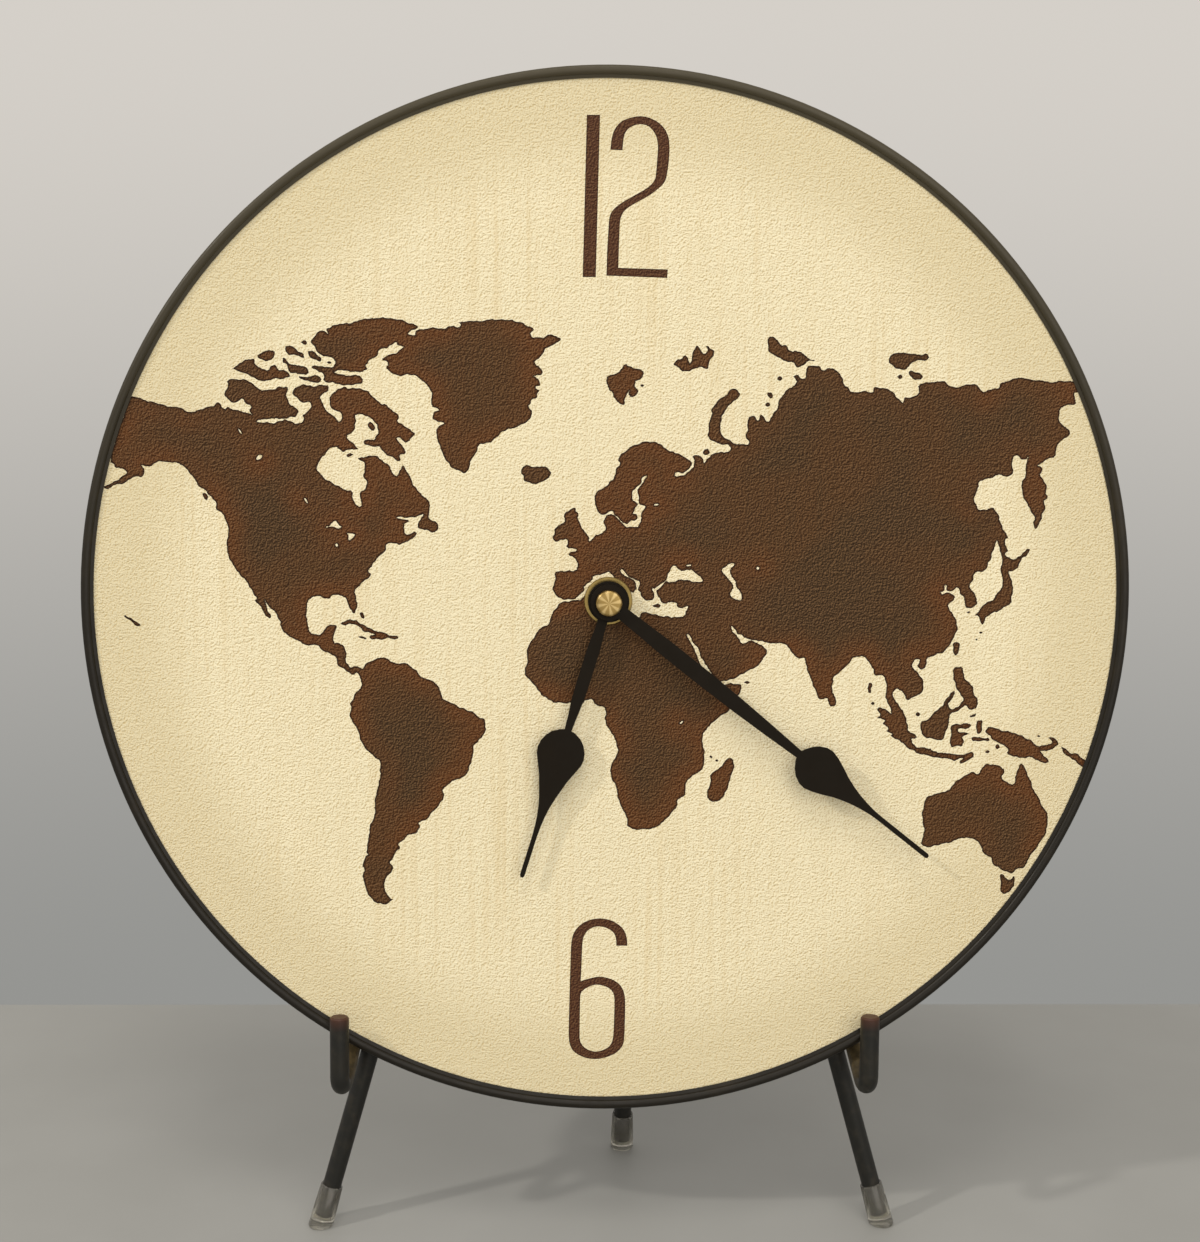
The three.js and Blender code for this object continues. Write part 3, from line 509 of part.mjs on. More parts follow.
const SIX_COUNTER = [
  [-8.7, -117], [-7.2, -115.8], [-5.2, -114.8], [-3.5, -114.6], [-1.5, -115.1], [0.2, -116], [1.2, -117.4],
  [1.45, -119.4], [1.3, -124.6], [1.1, -129.7], [0.75, -132.1], [-0.3, -133.8], [-2.3, -134.8],
  [-4.3, -135.2], [-6.3, -134.7], [-8, -133.5], [-9, -131.7], [-9, -128], [-8.85, -121.1],
];

const wasm = await Module();
wasm.setup();

// Joining and cutting of closed solids.
function solid(geometry) {
  const bare = geometry.clone();
  bare.deleteAttribute('normal');
  bare.deleteAttribute('uv');
  const merged = mergeVertices(bare);
  const mesh = new wasm.Mesh({
    numProp: 3,
    vertProperties: new Float32Array(merged.attributes.position.array),
    triVerts: new Uint32Array(merged.index.array),
  });
  return new wasm.Manifold(mesh);
}

function geometryOf(manifold) {
  const mesh = manifold.getMesh();
  const geometry = new THREE.BufferGeometry();
  geometry.setAttribute('position', new THREE.BufferAttribute(mesh.vertProperties, 3));
  geometry.setIndex(new THREE.BufferAttribute(mesh.triVerts, 1));
  geometry.computeVertexNormals();
  return geometry;
}

// Basic solids on an axis that points out of the dial.
function circle(radius, sides, x = 0, y = 0) {
  const points = [];
  for (let i = 0; i < sides; i += 1) {
    const angle = (2 * Math.PI * i) / sides;
    points.push(new THREE.Vector2(x + radius * Math.cos(angle), y + radius * Math.sin(angle)));
  }
  return points;
}

function prism(points, from, to) {
  const options = { depth: to - from, bevelEnabled: false };
  const geometry = new THREE.ExtrudeGeometry(new THREE.Shape(points), options);
  geometry.translate(0, 0, from);
  return geometry;
}

function cylinder(radius, from, to, sides, x = 0, y = 0) {
  return solid(prism(circle(radius, sides, x, y), from, to));
}

function box(x0, x1, y0, y1, from, to) {
  const geometry = new THREE.BoxGeometry(x1 - x0, y1 - y0, to - from);
  geometry.translate((x0 + x1) / 2, (y0 + y1) / 2, (from + to) / 2);
  return solid(geometry);
}

function turned(profile, sides) {
  const points = profile.map(([r, h]) => new THREE.Vector2(r, h));
  const geometry = new THREE.LatheGeometry(points, sides);
  geometry.rotateX(Math.PI / 2);
  return geometry;
}

function roundedPlate(x0, x1, y0, y1, corner, from, to) {
  const shape = new THREE.Shape();
  shape.moveTo(x0 + corner, y0);
  shape.lineTo(x1 - corner, y0);
  shape.absarc(x1 - corner, y0 + corner, corner, -Math.PI / 2, 0);
  shape.lineTo(x1, y1 - corner);
  shape.absarc(x1 - corner, y1 - corner, corner, 0, Math.PI / 2);
  shape.lineTo(x0 + corner, y1);
  shape.absarc(x0 + corner, y1 - corner, corner, Math.PI / 2, Math.PI);
  shape.lineTo(x0, y0 + corner);
  shape.absarc(x0 + corner, y0 + corner, corner, Math.PI, 1.5 * Math.PI);
  const options = { depth: to - from, bevelEnabled: false, curveSegments: 3 };
  const geometry = new THREE.ExtrudeGeometry(shape, options);
  geometry.translate(0, 0, from);
  return solid(geometry);
}

function gear({ teeth, module }, phase, from, to, x, y) {
  const pitch = (module * teeth) / 2;
  const points = [];
  for (let i = 0; i < 2 * teeth; i += 1) {
    const angle = phase + (i * Math.PI) / teeth;
    const radius = i % 2 === 0 ? pitch + ADDENDUM * module : pitch - DEDENDUM * module;
    points.push(new THREE.Vector2(x + radius * Math.cos(angle), y + radius * Math.sin(angle)));
  }
  return solid(prism(points, from, to));
}

function tipRadius({ teeth, module }) {
  return (module * teeth) / 2 + ADDENDUM * module;
}

function spacing(a, b) {
  return (a.module * a.teeth) / 2 + (b.module * b.teeth) / 2 + MESH_GAP;
}

function away(from, distance, bearing) {
  return { x: from.x + distance * Math.cos(bearing), y: from.y + distance * Math.sin(bearing) };
}

// A round rod along straight runs, with a bend of its own radius at each corner.
function rod(points, bends, radius, steps) {
  const path = new THREE.CurvePath();
  let start = points[0];
  for (let i = 1; i < points.length - 1; i += 1) {
    const before = points[i].clone().sub(points[i - 1]).normalize();
    const after = points[i + 1].clone().sub(points[i]).normalize();
    const turn = before.angleTo(after);
    const cutBack = bends[i - 1] * Math.tan(turn / 2);
    const handle = (4 / 3) * bends[i - 1] * Math.tan(turn / 4);
    const enter = points[i].clone().addScaledVector(before, -cutBack);
    const leave = points[i].clone().addScaledVector(after, cutBack);
    const enterHandle = enter.clone().addScaledVector(before, handle);
    const leaveHandle = leave.clone().addScaledVector(after, -handle);
    path.add(new THREE.LineCurve3(start, enter));
    path.add(new THREE.CubicBezierCurve3(enter, enterHandle, leaveHandle, leave));
    start = leave;
  }
  path.add(new THREE.LineCurve3(start, points[points.length - 1]));
  const section = new THREE.Shape(circle(radius, ROD_SIDES));
  return new THREE.ExtrudeGeometry(section, { steps, extrudePath: path, bevelEnabled: false });
}

// Everything on the clock and the front of the easel is drawn in the leaning plane of the dial:
// x right, y up the face, z out of the face, with the hub at the origin.
const clock = new THREE.Group();
const leaning = new THREE.Matrix4().makeRotationX(Math.PI / 2 - LEAN);
leaning.setPosition(0, 0, HUB_HEIGHT);

function material(color, roughness, metalness) {
  return new THREE.MeshStandardMaterial({ color, roughness, metalness });
}

function add(name, shape, finish) {
  const geometry = shape.isBufferGeometry ? shape : geometryOf(shape);
  const mesh = new THREE.Mesh(geometry, finish);
  mesh.name = name;
  clock.add(mesh);
  return mesh;
}

function addLeaning(name, shape, finish) {
  const mesh = add(name, shape, finish);
  mesh.geometry.applyMatrix4(leaning);
  return mesh;
}

const BLACK_METAL = [0x1b1a18, 0.5, 0.4];
const BRASS = [0xb9a066, 0.35, 1];
const BLACK_PLASTIC = [0x141414, 0.6, 0];
const STEEL = [0x9a9a98, 0.4, 1];
const GEAR_PLASTIC = [0xe6e2d6, 0.5, 0];

// Radii and levels shared by the stack of sheets.
const DISC_SIDES = 72;
const discRadius = DIAL_RADIUS + BEZEL_LIP + BEZEL_SKIRT;
const sheetRadius = discRadius - BEZEL_SKIRT - SEAT_GAP;
const landTop = -FACE_PLY - GLUE_LINE;
const boardTop = landTop - LAND_PLY - GLUE_LINE;
const boardBack = boardTop - BOARD_THICKNESS;
const hourTubeBore = MINUTE_ARBOR_RADIUS + RUN_GAP;
const hourTubeRadius = hourTubeBore + HOUR_TUBE_WALL;
const bushingBore = hourTubeRadius + RUN_GAP;
const bushingRadius = bushingBore + BUSHING_WALL;
const shaftHole = bushingRadius + SEAT_GAP;

// Board and bezel.
const boardProfile = [
  [shaftHole, boardBack], [sheetRadius, boardBack], [sheetRadius, boardTop], [shaftHole, boardTop],
  [shaftHole, boardBack],
];
addLeaning('backing_board', solid(turned(boardProfile, DISC_SIDES)), material(0x191817, 0.75, 0));

const beadHalf = (BEZEL_LIP + BEZEL_SKIRT - BEZEL_BEVEL) / 2;
const beadCentre = discRadius - beadHalf;
const bezelRise = BEZEL_SPRING + BEZEL_BEAD;
const bezelProfile = [[DIAL_RADIUS, SEAT_GAP]];
const BEAD_STEPS = 6;
for (let i = 0; i <= BEAD_STEPS; i += 1) {
  const angle = Math.PI - (Math.PI * i) / BEAD_STEPS;
  const height = BEZEL_SPRING + BEZEL_BEAD * Math.sin(angle);
  bezelProfile.push([beadCentre + beadHalf * Math.cos(angle), height]);
}
bezelProfile.push([discRadius, boardBack + BEZEL_HEM]);
bezelProfile.push([discRadius - BEZEL_HEM, boardBack]);
bezelProfile.push([discRadius - BEZEL_SKIRT, boardBack]);
bezelProfile.push([discRadius - BEZEL_SKIRT, SEAT_GAP]);
bezelProfile.push([DIAL_RADIUS, SEAT_GAP]);
bezelProfile.reverse();
addLeaning('bezel_ring', solid(turned(bezelProfile, DISC_SIDES)), material(0x23211d, 0.45, 0.5));

// Brown sheet that shows as land, and the pale sheet over it with coasts and figures cut through.
const landProfile = [
  [shaftHole, landTop - LAND_PLY], [sheetRadius, landTop - LAND_PLY], [sheetRadius, landTop],
  [shaftHole, landTop], [shaftHole, landTop - LAND_PLY],
];
addLeaning('land_ply', solid(turned(landProfile, DISC_SIDES)), material(0x4a2f1b, 0.7, 0));

const mapScale = DIAL_RADIUS / MAP_DRAWN_RADIUS;
const cutFloor = -FACE_PLY - 1;
const cutRoof = 1;

// The disc sits in its hooks a little turned, so the map and the hands share that turn.
function drawn(outline, from, to) {
  const points = outline.map(([x, y]) => new THREE.Vector2(x * mapScale, y * mapScale));
  const sheet = prism(points, from, to);
  sheet.rotateZ(DIAL_TURN);
  return solid(sheet);
}

const dialWindow = cylinder(DIAL_RADIUS + MAP_UNDER_LIP, cutFloor, cutRoof, DISC_SIDES);
let face = cylinder(sheetRadius, -FACE_PLY, 0, DISC_SIDES);
face = face.subtract(cylinder(shaftHole, cutFloor, cutRoof, 24));
const openings = [
  AMERICAS, GREENLAND, OLD_WORLD, AUSTRALIA, BORNEO_AND_PHILIPPINES, NEW_GUINEA, ...Object.values(ISLANDS),
  FIGURE_ONE, FIGURE_TWO, FIGURE_SIX,
];
for (const outline of openings) {
  face = face.subtract(drawn(outline, cutFloor, cutRoof).intersect(dialWindow));
}
addLeaning('dial_face', face, material(0xe3cf9f, 0.7, 0));

// Pale pieces let into the land stay inside the same window as the openings that hold them.
const inlayWindow = cylinder(DIAL_RADIUS + MAP_UNDER_LIP - SEAT_GAP, cutFloor, cutRoof, DISC_SIDES);

function inlay(outline) {
  return drawn(outline, -FACE_PLY, 0).intersect(inlayWindow);
}

addLeaning('inlay_six', inlay(SIX_COUNTER), material(0xe3cf9f, 0.7, 0));
addLeaning('inlay_caspian', inlay(CASPIAN), material(0xe3cf9f, 0.7, 0));
addLeaning('inlay_superior', inlay(SUPERIOR), material(0xe3cf9f, 0.7, 0));

// Levels of the movement, counted backwards from the board.
const caseFront = boardBack - GASKET_THICKNESS - 2 * GLUE_LINE;
const cavityFront = caseFront - CASE_FRONT;
const layerStep = WHEEL_THICKNESS + LAYER_GAP;
const trainDepth = LAYERS * layerStep + LAYER_GAP;
const cavityDepth = Math.max(2 * (BATTERY_RADIUS + SEAT_GAP), trainDepth);
const cavityBack = cavityFront - cavityDepth;
const coverFront = cavityBack - GLUE_LINE;
const coverBack = coverFront - COVER_THICKNESS;

function layer(index) {
  const front = cavityFront - LAYER_GAP - index * layerStep;
  return { front, back: front - WHEEL_THICKNESS };
}

// Centres of the arbors.
const hub = { x: 0, y: 0 };
const motionSpacing = spacing(CANNON, MINUTE_WHEEL);
const hourModule = (2 * (motionSpacing - MESH_GAP)) / (HOUR_PINION_TEETH + HOUR_WHEEL_TEETH);
const HOUR_PINION = { teeth: HOUR_PINION_TEETH, module: hourModule };
const HOUR_WHEEL = { teeth: HOUR_WHEEL_TEETH, module: hourModule };
const SETTING_PINION = { teeth: SETTING_PINION_TEETH, module: MINUTE_WHEEL.module };
const THIRD_PINION = { teeth: THIRD_PINION_TEETH, module: CENTRE_WHEEL.module };
const SECONDS_PINION = { teeth: SECONDS_PINION_TEETH, module: THIRD_WHEEL.module };
const FIFTH_PINION = { teeth: FIFTH_PINION_TEETH, module: SECONDS_WHEEL.module };
const ROTOR_PINION = { teeth: ROTOR_PINION_TEETH, module: FIFTH_WHEEL.module };
const minutePost = away(hub, motionSpacing, MINUTE_WHEEL_BEARING);
const settingPost = away(minutePost, spacing(MINUTE_WHEEL, SETTING_PINION), SETTING_BEARING);
const thirdPost = away(hub, spacing(CENTRE_WHEEL, THIRD_PINION), THIRD_BEARING);
const secondsPost = away(thirdPost, spacing(THIRD_WHEEL, SECONDS_PINION), SECONDS_BEARING);
const fifthPost = away(secondsPost, spacing(SECONDS_WHEEL, FIFTH_PINION), FIFTH_BEARING);
const rotorPost = away(fifthPost, spacing(FIFTH_WHEEL, ROTOR_PINION), ROTOR_BEARING);

function gapAt(bearing, { teeth }) {
  return bearing + Math.PI - Math.PI / teeth;
}

// Case with a train bay above and an open battery bay below, and the bushing through the board.
const bayHalf = (BATTERY_LENGTH + BATTERY_NUB) / 2 + CONTACT_THICKNESS + 2 * SEAT_GAP;
const trainFloor = -tipRadius(CENTRE_WHEEL) - TRAIN_MARGIN;
const bayTop = trainFloor - BAY_DIVIDER;
const bayBottom = bayTop - 2 * (BATTERY_RADIUS + SEAT_GAP);
const caseHalf = bayHalf + CASE_WALL;
const caseTop = TRAIN_HEADROOM + CASE_WALL;
const caseBottom = bayBottom - CASE_WALL;
const nutTop = WASHER_THICKNESS + NUT_THICKNESS + 2 * GLUE_LINE;
const bushingTop = nutTop + GLUE_LINE;
const pivots = [minutePost, thirdPost, secondsPost, fifthPost, rotorPost];

let shell = roundedPlate(-caseHalf, caseHalf, caseBottom, caseTop, CASE_CORNER, cavityBack, caseFront);
const through = cavityBack - 1;
shell = shell.subtract(box(-bayHalf, bayHalf, trainFloor, TRAIN_HEADROOM, through, cavityFront));
shell = shell.subtract(box(-bayHalf, bayHalf, bayBottom, bayTop, through, cavityFront));
shell = shell.add(cylinder(bushingRadius, cavityFront, bushingTop, 28));
shell = shell.subtract(cylinder(bushingBore, through, bushingTop + 1, 28));
for (const post of pivots) {
  const socketBack = cavityFront - 1;
  const socketFront = cavityFront + PIVOT_DEPTH + GLUE_LINE;
  shell = shell.subtract(cylinder(PIVOT_RADIUS + GLUE_LINE, socketBack, socketFront, 10, post.x, post.y));
}
addLeaning('movement_case', shell, material(...BLACK_PLASTIC));

let cover = roundedPlate(-caseHalf, caseHalf, bayTop, caseTop, BAY_DIVIDER / 2, coverBack, coverFront);
for (const post of pivots) {
  const socketBack = coverFront - PIVOT_DEPTH - GLUE_LINE;
  cover = cover.subtract(cylinder(PIVOT_RADIUS + GLUE_LINE, socketBack, coverFront + 1, 10, post.x, post.y));
}
const settingShaft = CLUTCH_RADIUS;
const settingHole = settingShaft + RUN_GAP;
const knobPassage = cylinder(settingHole, coverBack - 1, coverFront + 1, 14, settingPost.x, settingPost.y);
cover = cover.subtract(knobPassage);
addLeaning('movement_cover', cover, material(...BLACK_PLASTIC));

const gasketProfile = [
  [shaftHole, caseFront + GLUE_LINE], [GASKET_RADIUS, caseFront + GLUE_LINE],
  [GASKET_RADIUS, boardBack - GLUE_LINE], [shaftHole, boardBack - GLUE_LINE],
  [shaftHole, caseFront + GLUE_LINE],
];
addLeaning('rubber_gasket', solid(turned(gasketProfile, 28)), material(0x1d1d1d, 0.9, 0));

// Battery with its two spring plates.
const batteryY = (bayTop + bayBottom) / 2;
const batteryZ = cavityFront - BATTERY_RADIUS - SEAT_GAP;
const batteryStart = -(BATTERY_LENGTH + BATTERY_NUB) / 2;
const batteryProfile = [
  [0, 0], [BATTERY_RADIUS - 0.5, 0], [BATTERY_RADIUS, 0.5], [BATTERY_RADIUS, BATTERY_LENGTH - 0.5],
  [BATTERY_RADIUS - 0.5, BATTERY_LENGTH], [BATTERY_NUB_RADIUS, BATTERY_LENGTH],
  [BATTERY_NUB_RADIUS, BATTERY_LENGTH + BATTERY_NUB], [0, BATTERY_LENGTH + BATTERY_NUB],
];
const battery = turned(batteryProfile, 24);
battery.rotateY(Math.PI / 2);
battery.translate(batteryStart, batteryY, batteryZ);
addLeaning('battery', solid(battery), material(0x8d8f93, 0.35, 0.7));

const contactHalf = CONTACT_SIZE / 2;
const contactEnd = bayHalf - SEAT_GAP;
const plateY0 = batteryY - contactHalf;
const plateY1 = batteryY + contactHalf;
const plateZ0 = batteryZ - contactHalf;
const plateZ1 = batteryZ + contactHalf;
const positive = box(contactEnd - CONTACT_THICKNESS, contactEnd, plateY0, plateY1, plateZ0, plateZ1);
addLeaning('contact_positive', positive, material(...STEEL));
const negative = box(-contactEnd, CONTACT_THICKNESS - contactEnd, plateY0, plateY1, plateZ0, plateZ1);
addLeaning('contact_negative', negative, material(...STEEL));

// Going train: rotor, fifth, seconds, third and centre wheels.
function arbor(post, from, to) {
  const body = cylinder(ARBOR_RADIUS, from, to, 10, post.x, post.y);
  return body.add(cylinder(PIVOT_RADIUS, from - PIVOT_DEPTH, to + PIVOT_DEPTH, 10, post.x, post.y));
}

const arborBack = coverFront + GLUE_LINE;
const arborFront = cavityFront - GLUE_LINE;

function wheelOn(post, spec, phase, index) {
  const level = layer(index);
  return gear(spec, phase, level.back, level.front, post.x, post.y);
}

const centreLevel = layer(2);
let centre = wheelOn(hub, CENTRE_WHEEL, THIRD_BEARING, 2);
centre = centre.subtract(cylinder(CLUTCH_RADIUS + RUN_GAP, centreLevel.back - 1, centreLevel.front + 1, 16));
addLeaning('centre_wheel', centre, material(...GEAR_PLASTIC));

let third = arbor(thirdPost, arborBack, arborFront);
third = third.add(wheelOn(thirdPost, THIRD_PINION, gapAt(THIRD_BEARING, THIRD_PINION), 2));
third = third.add(wheelOn(thirdPost, THIRD_WHEEL, SECONDS_BEARING, 3));
addLeaning('third_wheel', third, material(...GEAR_PLASTIC));

let seconds = arbor(secondsPost, arborBack, arborFront);
seconds = seconds.add(wheelOn(secondsPost, SECONDS_PINION, gapAt(SECONDS_BEARING, SECONDS_PINION), 3));
seconds = seconds.add(wheelOn(secondsPost, SECONDS_WHEEL, FIFTH_BEARING, 4));
addLeaning('seconds_wheel', seconds, material(...GEAR_PLASTIC));

let fifth = arbor(fifthPost, arborBack, arborFront);
fifth = fifth.add(wheelOn(fifthPost, FIFTH_PINION, gapAt(FIFTH_BEARING, FIFTH_PINION), 4));
fifth = fifth.add(wheelOn(fifthPost, FIFTH_WHEEL, ROTOR_BEARING, 5));
addLeaning('fifth_wheel', fifth, material(...GEAR_PLASTIC));

const statorZ = (layer(3).front + layer(4).back) / 2;
const rotorBack = statorZ - ROTOR_LENGTH / 2;
let rotor = arbor(rotorPost, arborBack, arborFront);
rotor = rotor.add(cylinder(ROTOR_RADIUS, rotorBack, rotorBack + ROTOR_LENGTH, 14, rotorPost.x, rotorPost.y));
rotor = rotor.add(wheelOn(rotorPost, ROTOR_PINION, gapAt(ROTOR_BEARING, ROTOR_PINION), 5));
addLeaning('rotor', rotor, material(0x4b4c50, 0.4, 0.8));

// Stator plate with its core, the coil wound on the core, and the circuit board.
const statorHole = ROTOR_RADIUS + STATOR_AIR_GAP;
const statorRight = rotorPost.x + statorHole + STATOR_WEB;
const statorLeft = -bayHalf + SEAT_GAP;
const statorBottom = rotorPost.y - statorHole - STATOR_TAIL + STATOR_WEB;
const coilOuter = COIL_RADIUS + COIL_FLANGE;
const coreY = TRAIN_HEADROOM - coilOuter - SEAT_GAP;
const coreTop = coreY + CORE_HEIGHT / 2;
const coreBottom = coreY - CORE_HEIGHT / 2;
const statorOutline = [
  [statorLeft, statorBottom], [statorRight, statorBottom], [statorRight, coreBottom],
  [CORE_REACH, coreBottom], [CORE_REACH, coreTop], [statorLeft, coreTop],
].map(([x, y]) => new THREE.Vector2(x, y));
const statorBack = statorZ - STATOR_THICKNESS / 2;
let stator = solid(prism(statorOutline, statorBack, statorBack + STATOR_THICKNESS));
stator = stator.subtract(
  cylinder(statorHole, statorBack - 1, statorBack + STATOR_THICKNESS + 1, 18, rotorPost.x, rotorPost.y),
);
addLeaning('stator', stator, material(...STEEL));

const coilProfile = [
  [0, 0], [coilOuter, 0], [coilOuter, COIL_CHEEK], [COIL_RADIUS, COIL_CHEEK],
  [COIL_RADIUS, COIL_LENGTH - COIL_CHEEK], [coilOuter, COIL_LENGTH - COIL_CHEEK], [coilOuter, COIL_LENGTH],
  [0, COIL_LENGTH],
];
const coilForm = turned(coilProfile, 16);
coilForm.rotateY(Math.PI / 2);
const coilStart = CORE_REACH - SEAT_GAP - COIL_LENGTH;
coilForm.translate(coilStart, coreY, statorZ);
const corePassage = box(
  coilStart - 1, coilStart + COIL_LENGTH + 1, coreBottom - SEAT_GAP, coreTop + SEAT_GAP,
  statorBack - SEAT_GAP, statorBack + STATOR_THICKNESS + SEAT_GAP,
);
addLeaning('coil', solid(coilForm).subtract(corePassage), material(0xa4562c, 0.4, 0.6));

const sheetFront = cavityFront - SEAT_GAP;
const sheetBack = sheetFront - BOARD_SHEET;
const sheetRight = bayHalf - SEAT_GAP;
const sheetTop = coreY - coilOuter - SEAT_GAP;
const chipX = sheetRight - BOARD_WIDTH / 2;
const chipY = sheetTop - BOARD_HEIGHT / 2;
const sheetLeft = sheetRight - BOARD_WIDTH;
const sheetBottom = sheetTop - BOARD_HEIGHT;
let circuit = box(sheetLeft, sheetRight, sheetBottom, sheetTop, sheetBack, sheetFront);
circuit = circuit.add(box(
  chipX - CHIP_WIDTH / 2, chipX + CHIP_WIDTH / 2, chipY - CHIP_HEIGHT / 2, chipY + CHIP_HEIGHT / 2,
  sheetBack - CHIP_THICKNESS, sheetBack + BOARD_SHEET / 2,
));
addLeaning('circuit_board', circuit, material(0x2f5a34, 0.6, 0));

// Motion work: cannon pinion on the minute arbor, minute wheel, hour wheel and the setting knob.
const hourHandBack = bushingTop + HOUR_HAND_LIFT;
const hourHandFront = hourHandBack + HAND_THICKNESS;
const hourTubeTop = hourHandFront + HOUR_TUBE_STANDOUT;
const minuteHandBack = hourHandFront + HAND_SPACING;
const minuteHandFront = minuteHandBack + HAND_THICKNESS;
const capBack = minuteHandFront + GLUE_LINE;
const capFront = capBack + CAP_HEIGHT;
const studTop = capFront - CAP_ROOF - THREAD_GAP;
const motionLevel = layer(1);
const tailBack = centreLevel.back - LAYER_GAP / 2;

let minuteArbor = cylinder(MINUTE_ARBOR_RADIUS, motionLevel.back, minuteHandFront, 20);
minuteArbor = minuteArbor.add(cylinder(CLUTCH_RADIUS, tailBack, motionLevel.front, 16));
minuteArbor = minuteArbor.add(cylinder(STUD_RADIUS, minuteHandBack, studTop, 16));
minuteArbor = minuteArbor.add(wheelOn(hub, CANNON, MINUTE_WHEEL_BEARING, 1));
addLeaning('minute_arbor', minuteArbor, material(...BRASS));

let minuteWheel = arbor(minutePost, arborBack, arborFront);
const minutePhase = gapAt(MINUTE_WHEEL_BEARING, MINUTE_WHEEL);
const hourPhase = gapAt(MINUTE_WHEEL_BEARING, HOUR_PINION);
minuteWheel = minuteWheel.add(wheelOn(minutePost, MINUTE_WHEEL, minutePhase, 1));
minuteWheel = minuteWheel.add(wheelOn(minutePost, HOUR_PINION, hourPhase, 0));
addLeaning('minute_wheel', minuteWheel, material(...GEAR_PLASTIC));

const hourLevel = layer(0);
let hourWheel = wheelOn(hub, HOUR_WHEEL, MINUTE_WHEEL_BEARING, 0);
hourWheel = hourWheel.add(cylinder(hourTubeRadius, hourLevel.back, hourTubeTop, 24));
hourWheel = hourWheel.subtract(cylinder(hourTubeBore, hourLevel.back - 1, hourTubeTop + 1, 24));
addLeaning('hour_wheel', hourWheel, material(...GEAR_PLASTIC));

const settingPhase = gapAt(SETTING_BEARING, SETTING_PINION);
const minuteTooth = (2 * Math.PI) / MINUTE_WHEEL.teeth;
const lag = (SETTING_BEARING - minutePhase) / minuteTooth;
const settingTurn = (lag - Math.round(lag)) * minuteTooth * (MINUTE_WHEEL.teeth / SETTING_PINION.teeth);
const knobFront = coverBack - KNOB_STANDOFF;
const knobBack = knobFront - KNOB_THICKNESS;
const knobOutline = [];
for (let i = 0; i < 2 * KNOB_GROOVES; i += 1) {
  const angle = (i * Math.PI) / KNOB_GROOVES;
  const radius = i % 2 === 0 ? KNOB_RADIUS : KNOB_RADIUS - KNOB_GROOVE_DEPTH;
  const x = settingPost.x + radius * Math.cos(angle);
  knobOutline.push(new THREE.Vector2(x, settingPost.y + radius * Math.sin(angle)));
}
let knob = solid(prism(knobOutline, knobBack, knobFront));
knob = knob.add(cylinder(settingShaft, knobBack + 1, motionLevel.front, 14, settingPost.x, settingPost.y));
knob = knob.add(wheelOn(settingPost, SETTING_PINION, settingPhase + settingTurn, 1));
addLeaning('setting_knob', knob, material(0x202020, 0.6, 0));

// Hardware on the face.
const washerProfile = [
  [bushingRadius + THREAD_GAP, GLUE_LINE], [WASHER_RADIUS, GLUE_LINE],
  [WASHER_RADIUS, GLUE_LINE + WASHER_THICKNESS], [bushingRadius + THREAD_GAP, GLUE_LINE + WASHER_THICKNESS],
  [bushingRadius + THREAD_GAP, GLUE_LINE],
];
addLeaning('dial_washer', solid(turned(washerProfile, 32)), material(...BRASS));
const nutBack = 2 * GLUE_LINE + WASHER_THICKNESS;
const nutCorner = NUT_FLATS / Math.sqrt(3);
let nut = cylinder(nutCorner, nutBack, nutBack + NUT_THICKNESS, 6);
nut = nut.subtract(cylinder(bushingRadius + THREAD_GAP, nutBack - 1, nutBack + NUT_THICKNESS + 1, 28));
addLeaning('hex_nut', nut, material(...BRASS));

function hand(profile, angle, hubRadius, bore, from, to) {
  const left = profile.map(([along, half]) => new THREE.Vector2(-half, along));
  const right = profile.map(([along, half]) => new THREE.Vector2(half, along)).reverse();
  const blade = prism([...left, ...right], from, to);
  let shape = solid(blade).add(cylinder(hubRadius, from, to, 28));
  shape = shape.subtract(cylinder(bore, from - 1, to + 1, 24));
  const geometry = geometryOf(shape);
  geometry.rotateZ(DIAL_TURN - angle);
  return geometry;
}

const hourBore = hourTubeRadius + GLUE_LINE;
const hourHand = hand(HOUR_PROFILE, HOUR_ANGLE, HOUR_HUB_RADIUS, hourBore, hourHandBack, hourHandFront);
addLeaning('hour_hand', hourHand, material(0x15140f, 0.6, 0.2));
const minuteBore = MINUTE_ARBOR_RADIUS + GLUE_LINE;
const minuteHand = hand(
  MINUTE_PROFILE, MINUTE_ANGLE, MINUTE_HUB_RADIUS, minuteBore, minuteHandBack, minuteHandFront,
);
addLeaning('minute_hand', minuteHand, material(0x15140f, 0.6, 0.2));

const capProfile = [
  [0, studTop + THREAD_GAP], [STUD_RADIUS + THREAD_GAP, studTop + THREAD_GAP],
  [STUD_RADIUS + THREAD_GAP, capBack], [CAP_RADIUS, capBack], [CAP_RADIUS, capFront - CAP_CROWN],
  [CAP_RADIUS - CAP_CROWN, capFront], [0, capFront],
];
addLeaning('cap_nut', solid(turned(capProfile, 24)), material(...BRASS));

// Easel: two front legs, a top bar, two hooks.
const legZ = boardBack - SEAT_GAP - ROD_RADIUS;
const footDrop = -(HUB_HEIGHT + legZ * Math.sin(LEAN)) / Math.cos(LEAN);
const legRise = -TOP_BAR_DROP + LEG_CROWN - footDrop;

function legPoint(side, up) {
  return new THREE.Vector3(side * (FOOT_SPREAD - up * Math.tan(LEG_SPLAY)), footDrop + up, legZ);
}

